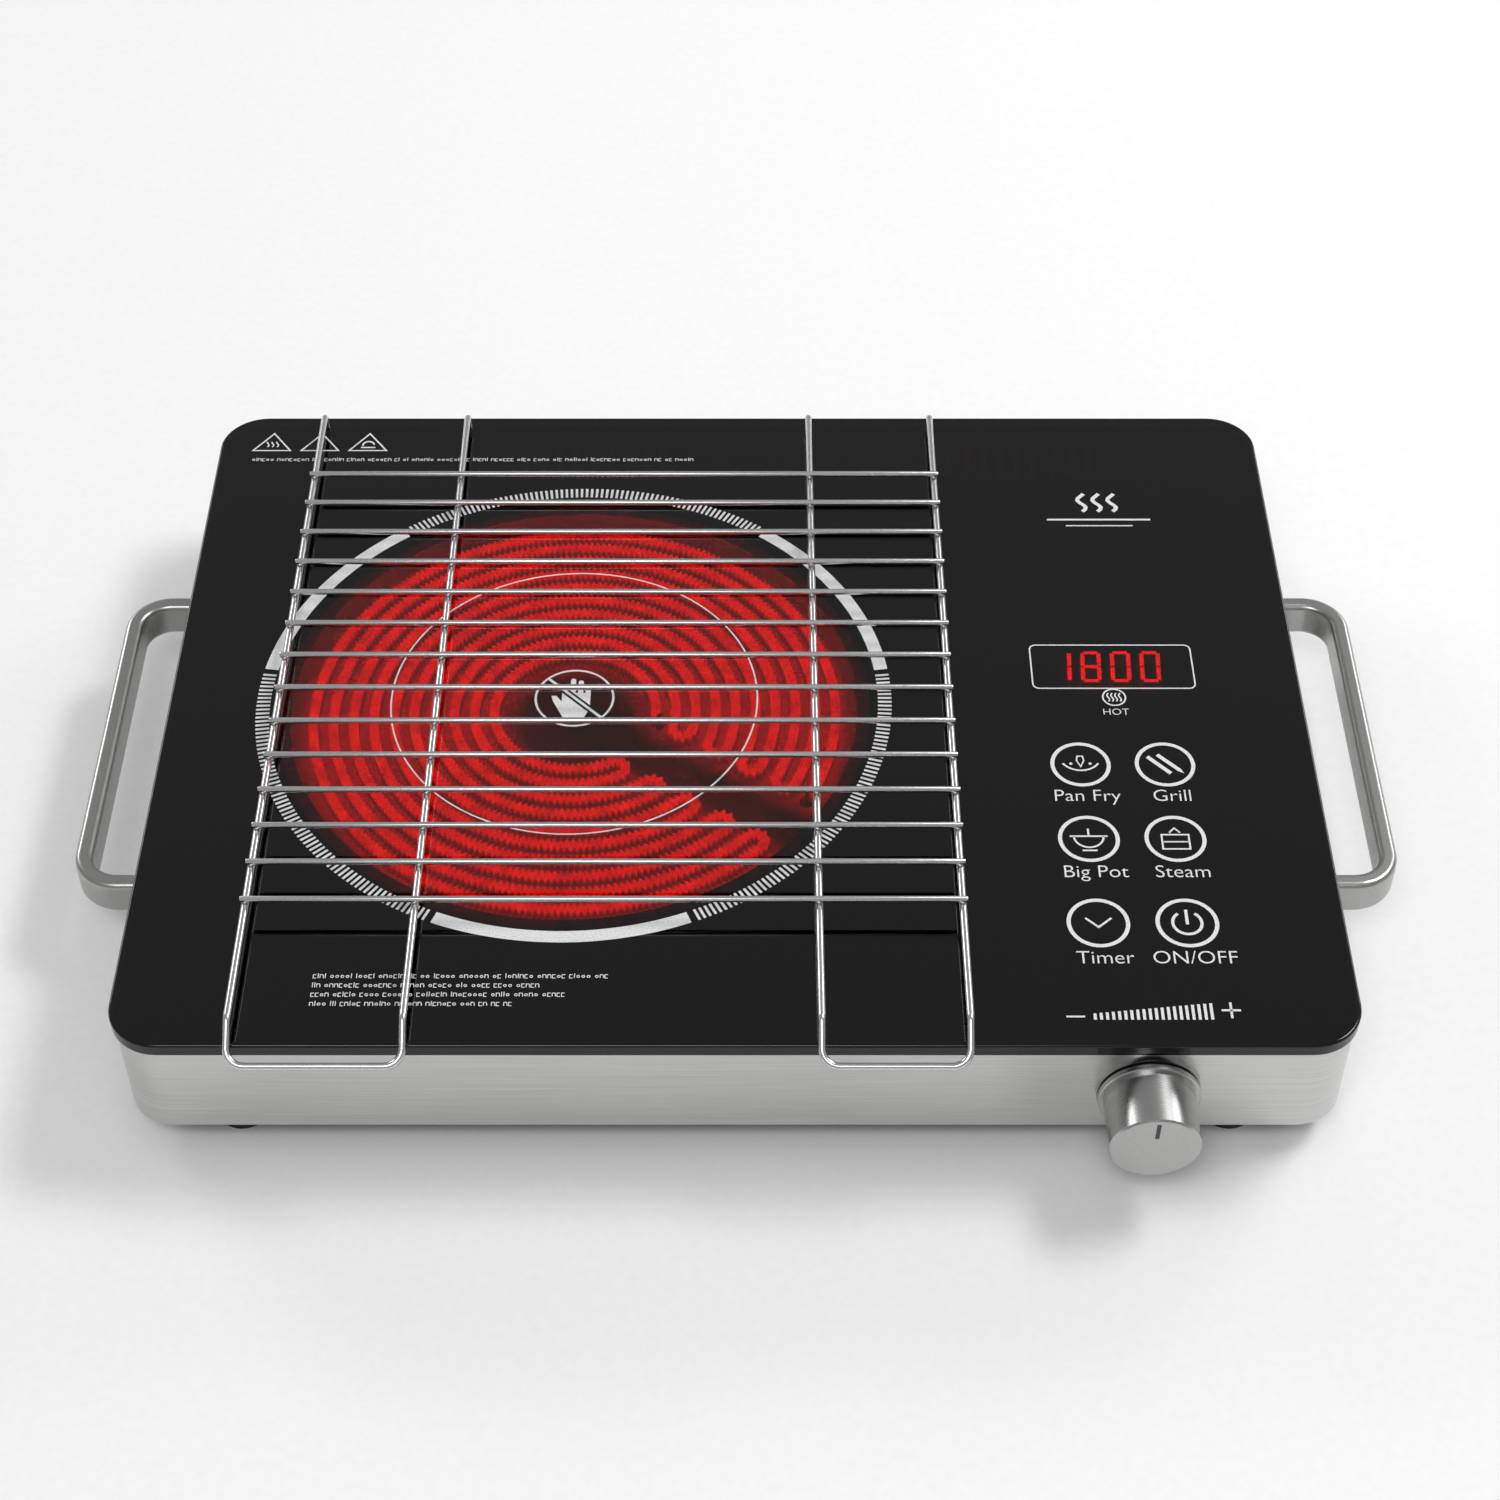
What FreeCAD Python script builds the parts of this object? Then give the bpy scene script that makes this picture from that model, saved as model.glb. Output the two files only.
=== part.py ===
import FreeCAD, Part
import math
import os
import re

import Sketcher

# Tabletop radiant cooking plate.  Everything is in millimetres and degrees.
# X runs left to right, Y front to back, Z up from the surface that the feet stand on.
# Plan positions are counted from the middle of the case; the nodes are then moved along Y by
# SHIFT, so that the origin lies under the middle of the whole object.

SIZES = {
    # glass plate and its seal
    "glass_length": 350, "glass_width": 270, "glass_corner": 15, "glass_thick": 4,
    "glass_edge": 0.8, "overhang": 1, "seal_thick": 0.7, "seal_inset": 1.2, "seal_wide": 8,
    # case, base and feet
    "case_height": 33.1, "sheet_thick": 0.8, "flange_wide": 11, "base_thick": 1,
    "base_inset": 1.2, "foot_height": 9.2, "foot_radius": 9, "foot_taper": 1,
    "foot_inset_x": 31, "foot_inset_y": 14, "foot_pocket": 3.2,
    # fasteners and fits
    "screw_radius": 1.5, "screw_head": 2.8, "head_thick": 1.8, "screw_gap": 0.15,
    "thread_gap": 0.05, "foot_screw": 2, "base_screw_x": 100, "base_screw_y": 78,
    # side handles
    "handle_reach": 24, "handle_span": 126, "handle_corner": 14, "handle_tall": 12,
    "handle_thick": 5.5, "handle_round": 1.8, "handle_drop": 22, "handle_bore": 12,
    # knob, collar and rotary encoder
    "knob_inset": 59, "knob_drop": 20, "knob_reach": 20, "knob_radius": 12.9,
    "skirt_radius": 14.4, "skirt_thick": 2, "knob_edge": 0.5, "collar_radius": 14.7,
    "collar_thick": 2, "collar_web": 1, "collar_pocket": 7.4, "knob_gap": 0.5,
    "shaft_radius": 3, "shaft_gap": 0.05, "shaft_flat": 1.2, "bush_radius": 4.2,
    "bush_long": 4.5, "encoder_wide": 12, "encoder_deep": 6.5, "nut_flats": 11,
    "nut_thick": 2, "face_thick": 4,
    # radiant heater
    "heater_x": -50, "pan_depth": 18, "pan_wall": 0.6, "pan_below": 2,
    "insulation_thick": 12.4, "insulation_gap": 0.2, "rim_wide": 3.7, "ribbon_height": 5,
    "ribbon_thick": 0.5, "ribbon_first": 25, "ribbon_pitch": 6.2, "ribbon_turns": 10,
    "ribbon_margin": 11.2, "lane_half": 9.5, "lane_angle": -35, "lead_radius": 0.8,
    "bushing_radius": 2.5,
    "lead_below": 5, "limiter_radius": 2, "limiter_switch_long": 13,
    "limiter_switch_wide": 20, "limiter_switch_tall": 9, "spring_ring": 70,
    "spring_radius": 4.2, "spring_wire": 0.5, "post_radius": 2.6, "post_height": 8,
    "shield_gap": 5, "shield_thick": 0.6, "shield_long": 200, "shield_foot": 9,
    # electronics
    "board_thick": 1.6, "board_x": 112, "board_y": -38, "board_length": 104,
    "board_width": 158, "board_below": 10, "board_screw_inset": 5, "post_boss": 3,
    "display_x": 117, "display_y": 14.3, "display_length": 52, "display_width": 19,
    "display_tall": 8, "hot_y": 0.5, "key_x": 104, "key_step_x": 25.5, "key_y": -28.2,
    "key_step_y": 31.2, "key_spring": 4, "key_wire": 0.35, "power_x": 112, "power_y": -25,
    "power_length": 84, "power_width": 110, "power_stand": 5.8, "part_tall": 13,
    # fan
    "fan_x": 105, "fan_y": 92, "fan_size": 60, "fan_tall": 15, "fan_bore": 28.5,
    "fan_tip_gap": 0.8, "fan_hub": 13, "hub_wall": 1.5, "stator_radius": 10.5,
    "fan_screw_pitch": 50, "blade_count": 7, "blade_tilt": 38, "blade_thick": 1.2,
    "blade_chord": 12, "pivot_radius": 1.2, "spoke_tall": 2.5, "spoke_wide": 3,
    # mains inlet
    "gland_x": 146, "gland_drop": 22, "gland_reach": 6, "gland_bore": 3.6,
    "gland_radius": 8, "gland_head": 10.5, "gland_inside": 14, "gland_nut": 3,
    "wire_radius": 1.2, "vent_wide": 2.5, "vent_tall": 14, "vent_pitch": 6,
    # lift-off grill rack
    "rack_wire": 1.1, "cross_wire": 0.95, "rack_lift": 5.6, "weld_bite": 0.1,
    "loop_left_x": -115.75, "loop_left_wide": 48.5, "loop_right_x": 44.5,
    "loop_right_wide": 41, "rack_back": 5, "rack_bend": 5.4, "rack_front": 5.3,
    "rack_hook": 2.2, "rack_corner": 5, "rack_foot_bend": 3, "cross_first": -88.1,
    "cross_last": 96.7, "cross_count": 14, "cross_past": 1.5,
}

# Heights and walls that several pieces share.
CASE_LENGTH = "(glass_length - 2*overhang)"
CASE_WIDTH = "(glass_width - 2*overhang)"
CASE_CORNER = "(glass_corner - overhang)"
WALL_X = f"({CASE_LENGTH}/2)"
WALL_Y = f"({CASE_WIDTH}/2)"
FLOOR = "(foot_height + base_thick)"
CASE_TOP = f"({FLOOR} + case_height)"
GLASS_UNDER = f"({CASE_TOP} + seal_thick)"
GLASS_TOP = f"({GLASS_UNDER} + glass_thick)"
SHIFT = "((knob_reach - gland_reach)/2)"
KNOB_X = "(glass_length/2 - knob_inset)"
KNOB_Z = f"({GLASS_TOP} - knob_drop)"
HANDLE_Z = f"({GLASS_TOP} - handle_drop)"
HANDLE_Y = "(handle_span/2 - handle_thick/2)"
PAN_Z = f"({GLASS_UNDER} - pan_below - pan_depth)"
HEARTH_Z = f"({PAN_Z} + pan_wall + insulation_thick)"
BOARD_Z = f"({GLASS_UNDER} - board_below - board_thick)"
PAN_RADIUS = "(ribbon_first + ribbon_pitch*(ribbon_turns - 1) + ribbon_margin)"
SHIELD_X = f"(heater_x + {PAN_RADIUS} + shield_gap)"
BOARD_TOP = f"({BOARD_Z} + board_thick)"
POWER_Z = f"({FLOOR} + power_stand)"
POWER_TOP = f"({POWER_Z} + board_thick)"
GLAND_Z = f"({GLASS_TOP} - gland_drop)"
COLLAR_FRONT = f"(-{WALL_Y} - collar_thick)"
KNOB_BACK = f"({COLLAR_FRONT} - knob_gap)"
KNOB_FACE = "(-glass_width/2 - knob_reach)"
SCREW_HOLE = "(screw_radius + screw_gap)"
THREAD_HOLE = "(screw_radius + thread_gap)"

doc = FreeCAD.newDocument("CookingPlate")
sheet = doc.addObject("Spreadsheet::Sheet", "Size")
for row, (size_name, size_value) in enumerate(SIZES.items(), 1):
    sheet.set(f"A{row}", size_name)
    sheet.set(f"B{row}", str(size_value))
    sheet.setAlias(f"B{row}", size_name)
doc.recompute()

WORD = re.compile(r"[a-z_]+")
nodes = []
body_y = {}


def bound(text):
    """An expression with each size name pointed at the sheet."""
    return WORD.sub(lambda m: "Size." + m.group(0) if m.group(0) in SIZES else m.group(0),
                    str(text))


def value(text):
    """The number that an expression of sizes stands for now."""
    return float(sheet.evalExpression(bound(text).replace("Size.", "")))


# ---------------------------------------------------------------- building blocks

def set_place(item, x, y, z):
    """Binds an object's position to three expressions."""
    for axis, text in zip("xyz", (x, y, z)):
        item.setExpression(f"Placement.Base.{axis}", bound(text))
    return item


def box(x, y, z, length, width, height):
    """A block, by its lowest corner and its sizes."""
    item = doc.addObject("Part::Box", "Block")
    item.setExpression("Length", bound(length))
    item.setExpression("Width", bound(width))
    item.setExpression("Height", bound(height))
    return set_place(item, x, y, z)


def slab(x, y, z, length, width, height):
    """A block that is centred in plan on x, y and stands on z."""
    return box(f"({x}) - ({length})/2", f"({y}) - ({width})/2", z, length, width, height)


TURNS = {
    "z": FreeCAD.Rotation(),
    "x": FreeCAD.Rotation(FreeCAD.Vector(0, 1, 0), 90),
    "y": FreeCAD.Rotation(FreeCAD.Vector(1, 0, 0), -90),
}


def rod(x, y, z, radius, length, along="z"):
    """A cylinder from a point along an axis."""
    item = doc.addObject("Part::Cylinder", "Rod")
    item.setExpression("Radius", bound(radius))
    item.setExpression("Height", bound(length))
    item.Placement.Rotation = TURNS[along]
    return set_place(item, x, y, z)


def hexagon(x, y, z, flats, length):
    """A nut blank with its axis along Y, from a point towards +Y."""
    item = doc.addObject("Part::Prism", "Hexagon")
    item.Polygon = 6
    item.setExpression("Circumradius", bound(f"({flats})/1.7320508"))
    item.setExpression("Height", bound(length))
    item.Placement.Rotation = TURNS["y"]
    return set_place(item, x, y, z)


def group(items, turn=None, x="0", y="0", z="0"):
    """Several objects as one, turned about their common origin and then moved."""
    item = doc.addObject("Part::Compound", "Group")
    item.Links = items
    if turn:
        item.Placement.Rotation = turn
    return set_place(item, x, y, z)


def cut(base, tools):
    """A base with every tool taken from it."""
    item = doc.addObject("Part::Cut", "Cut")
    item.Base = base
    item.Tool = tools[0] if len(tools) == 1 else group(tools)
    return item


def fuse(items):
    """Objects that touch or cross, joined into one solid."""
    item = doc.addObject("Part::MultiFuse", "Fuse")
    item.Shapes = items
    item.Refine = True
    return item


def common(base, tool):
    """What two objects share."""
    item = doc.addObject("Part::MultiCommon", "Common")
    item.Shapes = [base, tool]
    return item


def node(name, item):
    """Makes an object a named piece of the assembly."""
    if item.TypeId in ("Part::Box", "Part::Cylinder"):
        item = group([item])
    item.Label = name
    start = body_y.get(item.Name, "0")
    item.setExpression("Placement.Base.y", bound(f"({start}) + {SHIFT}"))
    nodes.append(item)
    return item


def solid_node(name, shape):
    """A piece whose shape comes straight from Part's functions."""
    item = doc.addObject("Part::Feature", name)
    item.Shape = shape
    item.setExpression("Placement.Base.y", bound(SHIFT))
    item.Label = name
    nodes.append(item)
    return item


# ---------------------------------------------------------------- sketched bodies

def new_body(name, x="0", y="0", z="0"):
    """An empty body at a bound position."""
    body = doc.addObject("PartDesign::Body", name)
    body_y[body.Name] = y
    return set_place(body, x, y, z)


def new_sketch(body, name, role="XY_Plane", height="0"):
    """A sketch on one of the body's own origin planes, lifted by a bound offset."""
    sketch = body.newObject("Sketcher::SketchObject", name)
    plane = next(f for f in body.Origin.OriginFeatures if f.Role == role)
    sketch.AttachmentSupport = (plane, [""])
    sketch.MapMode = "FlatFace"
    sketch.setExpression("AttachmentOffset.Base.z", bound(height))
    return sketch


def bind_point(sketch, geometry, end, direction, text):
    """Fixes one coordinate of a point in a sketch to an expression."""
    now = value(text)
    if abs(now) < 1e-9:
        axis = -2 if direction == "X" else -1
        sketch.addConstraint(Sketcher.Constraint("PointOnObject", geometry, end, axis))
        return
    kind = "Distance" + direction
    index = sketch.addConstraint(Sketcher.Constraint(kind, -1, 1, geometry, end, now))
    sketch.setExpression(f"Constraints[{index}]", bound(text))


def polygon(sketch, points):
    """A closed outline of straight sides with every corner bound."""
    first = sketch.GeometryCount
    spots = [FreeCAD.Vector(value(x), value(y), 0) for x, y in points]
    count = len(spots)
    for i in range(count):
        sketch.addGeometry(Part.LineSegment(spots[i], spots[(i + 1) % count]), False)
    for i in range(count):
        follow = first + (i + 1) % count
        sketch.addConstraint(Sketcher.Constraint("Coincident", first + i, 2, follow, 1))
    for i, (x, y) in enumerate(points):
        bind_point(sketch, first + i, 1, "X", x)
        bind_point(sketch, first + i, 1, "Y", y)


def rounded(sketch, length, width, corner, x="0", y="0"):
    """A rounded rectangle with its sides and corner radius bound."""
    first = sketch.GeometryCount
    half_l, half_w, r = value(f"({length})/2"), value(f"({width})/2"), value(corner)
    mid_x, mid_y = value(x), value(y)

    def point(i, j):
        return FreeCAD.Vector(mid_x + i, mid_y + j, 0)

    def arc(i, j, start):
        circle = Part.Circle(point(i, j), FreeCAD.Vector(0, 0, 1), r)
        return Part.ArcOfCircle(circle, start, start + math.pi / 2)

    in_l, in_w = half_l - r, half_w - r
    sketch.addGeometry([
        Part.LineSegment(point(-in_l, -half_w), point(in_l, -half_w)),
        arc(in_l, -in_w, -math.pi / 2),
        Part.LineSegment(point(half_l, -in_w), point(half_l, in_w)),
        arc(in_l, in_w, 0),
        Part.LineSegment(point(in_l, half_w), point(-in_l, half_w)),
        arc(-in_l, in_w, math.pi / 2),
        Part.LineSegment(point(-half_l, in_w), point(-half_l, -in_w)),
        arc(-in_l, -in_w, math.pi),
    ], False)
    for i in range(8):
        follow = first + (i + 1) % 8
        sketch.addConstraint(Sketcher.Constraint("Tangent", first + i, 2, follow, 1))
    for i in (0, 4):
        sketch.addConstraint(Sketcher.Constraint("Horizontal", first + i))
        sketch.addConstraint(Sketcher.Constraint("Vertical", first + i + 2))
    for i in (3, 5, 7):
        sketch.addConstraint(Sketcher.Constraint("Equal", first + 1, first + i))
    index = sketch.addConstraint(Sketcher.Constraint("Radius", first + 1, r))
    sketch.setExpression(f"Constraints[{index}]", bound(corner))
    bind_point(sketch, first + 6, 1, "X", f"({x}) - ({length})/2")
    bind_point(sketch, first + 2, 1, "X", f"({x}) + ({length})/2")
    bind_point(sketch, first, 1, "Y", f"({y}) - ({width})/2")
    bind_point(sketch, first + 4, 1, "Y", f"({y}) + ({width})/2")


def pad(body, sketch, length, name="Pad"):
    """Extrudes a sketch upwards by a bound length."""
    feature = body.newObject("PartDesign::Pad", name)
    feature.Profile = sketch
    feature.setExpression("Length", bound(length))
    return feature


def lathe(name, points, plane="XZ_Plane", x="0", y="0", z="0"):
    """A body turned about the sketch's upright axis from radius and height pairs."""
    body = new_body(name, x, y, z)
    sketch = new_sketch(body, name + "_profile", plane)
    polygon(sketch, points)
    turned = body.newObject("PartDesign::Revolution", name + "_turned")
    turned.Profile = sketch
    turned.ReferenceAxis = (sketch, ["V_Axis"])
    turned.Angle = 360
    return body


def coil(name, radius, wire, height, turns, x, y, z):
    """A round-wire compression spring that stands on z."""
    body = new_body(name, x, y, f"({z}) + 2*({wire})")
    sketch = new_sketch(body, name + "_wire", "XZ_Plane")
    circle = Part.Circle(FreeCAD.Vector(value(radius), 0, 0), FreeCAD.Vector(0, 0, 1),
                         value(wire))
    sketch.addGeometry(circle, False)
    index = sketch.addConstraint(Sketcher.Constraint("Radius", 0, value(wire)))
    sketch.setExpression(f"Constraints[{index}]", bound(wire))
    bind_point(sketch, 0, 3, "X", radius)
    bind_point(sketch, 0, 3, "Y", "0")
    helix = body.newObject("PartDesign::AdditiveHelix", name + "_helix")
    helix.Profile = sketch
    helix.ReferenceAxis = (sketch, ["V_Axis"])
    helix.Mode = 0
    rise = f"(({height}) - 4*({wire}))"
    helix.setExpression("Height", bound(rise))
    helix.setExpression("Pitch", bound(f"{rise}/{turns}"))
    return body


def bent_wire(points, radii, radius):
    """A round wire along straight runs joined by tangent arcs.

    points are vectors; radii are the bend radii at the inner points.
    """
    edges = []
    start = points[0]
    for before, corner, after, bend in zip(points, points[1:], points[2:], radii):
        inward = (before - corner).normalize()
        outward = (after - corner).normalize()
        half = inward.getAngle(outward) / 2
        back = bend / math.tan(half)
        first = corner + inward * back
        last = corner + outward * back
        middle = (inward + outward).normalize()
        centre = corner + middle * (bend / math.sin(half))
        edges.append(Part.LineSegment(start, first).toShape())
        edges.append(Part.Arc(first, centre - middle * bend, last).toShape())
        start = last
    edges.append(Part.LineSegment(start, points[-1]).toShape())
    path = Part.Wire(edges)
    section = Part.Wire([Part.Circle(points[0], points[1] - points[0], radius).toShape()])
    return path.makePipeShell([section], True, False)


def spots(*rows):
    """Vectors from rows of x, y, z expressions."""
    return [FreeCAD.Vector(*(value(text) for text in row)) for row in rows]


def screw(x, y, z, radius, length, head, thick, up=True):
    """A pan-head screw with its head's inner face at z; the shank runs up or down."""
    if up:
        return fuse([rod(x, y, f"({z}) - ({thick})", head, thick), rod(x, y, z, radius, length)])
    return fuse([rod(x, y, z, head, thick), rod(x, y, f"({z}) - ({length})", radius, length)])


def corners(x, y, step_x, step_y):
    """The four corners of a rectangle centred on x, y."""
    return [(f"({x}) + {i}*({step_x})/2", f"({y}) + {j}*({step_y})/2")
            for i in (-1, 1) for j in (-1, 1)]


# ---------------------------------------------------------------- glass, case and feet

def build_glass():
    """The glass-ceramic plate with its rounded edge, and the seal under it."""
    body = new_body("glass_plate", z=GLASS_UNDER)
    outline = new_sketch(body, "glass_outline")
    rounded(outline, "glass_length", "glass_width", "glass_corner")
    plate = pad(body, outline, "glass_thick")
    doc.recompute()
    top = value("glass_thick")
    rim = [f"Edge{i}" for i, edge in enumerate(plate.Shape.Edges, 1)
           if abs(edge.BoundBox.ZMin - top) < 1e-6]
    softened = body.newObject("PartDesign::Fillet", "glass_rim")
    softened.Base = (plate, rim)
    softened.setExpression("Radius", bound("glass_edge"))
    node("glass_plate", body)

    body = new_body("glass_seal", z=CASE_TOP)
    outline = new_sketch(body, "seal_outline")
    for inset in ("seal_inset", "(seal_inset + seal_wide)"):
        rounded(outline, f"{CASE_LENGTH} - 2*{inset}", f"{CASE_WIDTH} - 2*{inset}",
                f"{CASE_CORNER} - {inset}")
    pad(body, outline, "seal_thick")
    node("glass_seal", body)


def frame_ring(body, name, wide, height, thick):
    """A ring of the case's outline, wide across and thick upwards, from height."""
    outline = new_sketch(body, name, height=height)
    inner = f"max({CASE_CORNER} - {wide}; 1)"
    rounded(outline, CASE_LENGTH, CASE_WIDTH, CASE_CORNER)
    rounded(outline, f"{CASE_LENGTH} - 2*{wide}", f"{CASE_WIDTH} - 2*{wide}", inner)
    pad(body, outline, thick)


def base_screw_spots():
    """Where the base is screwed to the case's lower flange."""
    off_x = f"({WALL_X} - flange_wide/2)"
    off_y = f"({WALL_Y} - flange_wide/2)"
    return corners(0, 0, "2*base_screw_x", f"2*{off_y}") + corners(0, 0, f"2*{off_x}",
                                                                   "2*base_screw_y")


def foot_spots():
    """Where the feet stand."""
    return corners(0, 0, f"2*({WALL_X} - foot_inset_x)", f"2*({WALL_Y} - foot_inset_y)")


def build_case():
    """The drawn case: wall, upper and lower flange, and its openings."""
    body = new_body("case_wall", z=FLOOR)
    frame_ring(body, "lower_flange", "flange_wide", "0", "sheet_thick")
    frame_ring(body, "wall", "sheet_thick", "0", "case_height")
    frame_ring(body, "upper_flange", "flange_wide", "case_height - sheet_thick", "sheet_thick")
    through = "4*sheet_thick"
    tools = [rod(KNOB_X, f"-{WALL_Y} - sheet_thick", KNOB_Z, "bush_radius + screw_gap",
                 through, "y"),
             rod("gland_x", f"{WALL_Y} - 2*sheet_thick", GLAND_Z, "gland_radius + screw_gap",
                 through, "y")]
    for x in (f"-{WALL_X} - sheet_thick", f"{WALL_X} - 2*sheet_thick"):
        for side in (-1, 1):
            tools.append(rod(x, f"{side}*{HANDLE_Y}", HANDLE_Z, SCREW_HOLE, through, "x"))
    for x, y in base_screw_spots():
        tools.append(rod(x, y, f"{FLOOR} - 1", THREAD_HOLE, "sheet_thick + 2"))
    for middle in ("heater_x", "fan_x - 8"):
        for i in range(-4, 5):
            tools.append(box(f"{middle} + {i}*vent_pitch - vent_wide/2",
                             f"{WALL_Y} - 2*sheet_thick",
                             f"{FLOOR} + (case_height - vent_tall)/2",
                             "vent_wide", through, "vent_tall"))
    node("body_shell", cut(body, tools))


def build_base():
    """The base plate with its vents, its screws and the feet."""
    body = new_body("base_blank", z="foot_height")
    outline = new_sketch(body, "base_outline")
    rounded(outline, f"{CASE_LENGTH} - 2*base_inset", f"{CASE_WIDTH} - 2*base_inset",
            f"{CASE_CORNER} - base_inset")
    pad(body, outline, "base_thick")
    low, deep = "foot_height - 1", "base_thick + 2"
    tools = [rod(x, y, low, SCREW_HOLE, deep) for x, y in base_screw_spots()]
    tools += [rod(x, y, low, "foot_screw + thread_gap", deep) for x, y in foot_spots()]
    tools += [rod(x, y, low, THREAD_HOLE, deep)
              for x, y in corners("fan_x", "fan_y", "fan_screw_pitch", "fan_screw_pitch")]
    for i in range(-3, 4):
        tools.append(slab("fan_x", f"fan_y + {i}*vent_pitch", low, "0.7*fan_size", "vent_wide",
                          deep))
    for i in range(-4, 5):
        tools.append(slab("heater_x", f"{i}*2*vent_pitch", low, f"{PAN_RADIUS}/2", "vent_wide",
                          deep))
    node("base_plate", cut(body, tools))
    node("base_screws", group([
        screw(x, y, "foot_height", "screw_radius", "base_thick + sheet_thick + 3",
              "screw_head", "head_thick") for x, y in base_screw_spots()]))
    pocket = "(1.9*foot_screw)"
    for name, (x, y) in zip(("front_left", "rear_left", "front_right", "rear_right"),
                            foot_spots()):
        node("foot_" + name, lathe("rubber_" + name, [
            ("foot_screw + screw_gap", "foot_pocket"),
            (pocket, "foot_pocket"),
            (pocket, "0"),
            ("foot_radius - foot_taper", "0"),
            ("foot_radius", "foot_height"),
            ("foot_screw + screw_gap", "foot_height"),
        ], x=x, y=y))
    node("foot_screws", group([
        screw(x, y, "foot_pocket", "foot_screw", "foot_height - foot_pocket + base_thick + 3",
              "1.7*foot_screw", "head_thick") for x, y in foot_spots()]))


def build_handle(name, turn):
    """One bent flat-bar handle, made for the right side and turned about the middle."""
    body = new_body(name + "_blank")
    body.Placement.Rotation = FreeCAD.Rotation(FreeCAD.Vector(0, 0, 1), turn)
    bend = "(handle_corner - handle_thick/2)"
    far = "(glass_length/2 + handle_reach - handle_thick/2)"
    wall, y, x, r = value(WALL_X), value(HANDLE_Y), value(far), value(bend)
    route = new_sketch(body, name + "_route", height=HANDLE_Z)

    def arc(middle_y, start):
        circle = Part.Circle(FreeCAD.Vector(x - r, middle_y, 0), FreeCAD.Vector(0, 0, 1), r)
        return Part.ArcOfCircle(circle, start, start + math.pi / 2)

    def line(ax, ay, bx, by):
        return Part.LineSegment(FreeCAD.Vector(ax, ay, 0), FreeCAD.Vector(bx, by, 0))

    route.addGeometry([line(wall, -y, x - r, -y), arc(-y + r, -math.pi / 2),
                       line(x, -y + r, x, y - r), arc(y - r, 0), line(x - r, y, wall, y)],
                      False)
    for i in range(4):
        route.addConstraint(Sketcher.Constraint("Tangent", i, 2, i + 1, 1))
    route.addConstraint(Sketcher.Constraint("Horizontal", 0))
    route.addConstraint(Sketcher.Constraint("Vertical", 2))
    route.addConstraint(Sketcher.Constraint("Horizontal", 4))
    route.addConstraint(Sketcher.Constraint("Equal", 1, 3))
    index = route.addConstraint(Sketcher.Constraint("Radius", 1, r))
    route.setExpression(f"Constraints[{index}]", bound(bend))
    bind_point(route, 0, 1, "X", WALL_X)
    bind_point(route, 0, 1, "Y", f"-{HANDLE_Y}")
    bind_point(route, 4, 2, "X", WALL_X)
    bind_point(route, 4, 2, "Y", HANDLE_Y)
    bind_point(route, 2, 1, "X", far)
    section = new_sketch(body, name + "_section", "YZ_Plane", WALL_X)
    rounded(section, "handle_thick", "handle_tall", "handle_round", f"-{HANDLE_Y}", HANDLE_Z)
    bar = body.newObject("PartDesign::AdditivePipe", name + "_bar")
    bar.Profile = section
    bar.Spine = (route, [])
    holes = [rod(f"{WALL_X} - 1", f"{side}*{HANDLE_Y}", HANDLE_Z, THREAD_HOLE,
                 "handle_bore + 1", "x") for side in (-1, 1)]
    turned = group(holes, FreeCAD.Rotation(FreeCAD.Vector(0, 0, 1), turn))
    node(name, cut(body, [turned]))


def build_handles():
    """Both handles and the four screws that hold them from inside the case."""
    build_handle("handle_right", 0)
    build_handle("handle_left", 180)
    inner = f"({WALL_X} - sheet_thick)"
    screws = []
    for side in (-1, 1):
        for end in (-1, 1):
            y = f"{end}*{HANDLE_Y}"
            head = inner if side < 0 else f"({inner} - head_thick)"
            shank = f"({inner} + 8)" if side < 0 else inner
            screws.append(fuse([
                rod(f"{'-' if side < 0 else ''}{head}", y, HANDLE_Z, "screw_head",
                    "head_thick", "x"),
                rod(f"{'-' if side < 0 else ''}{shank}", y, HANDLE_Z, "screw_radius", "8", "x"),
            ]))
    node("handle_screws", group(screws))


# ---------------------------------------------------------------- knob

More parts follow.
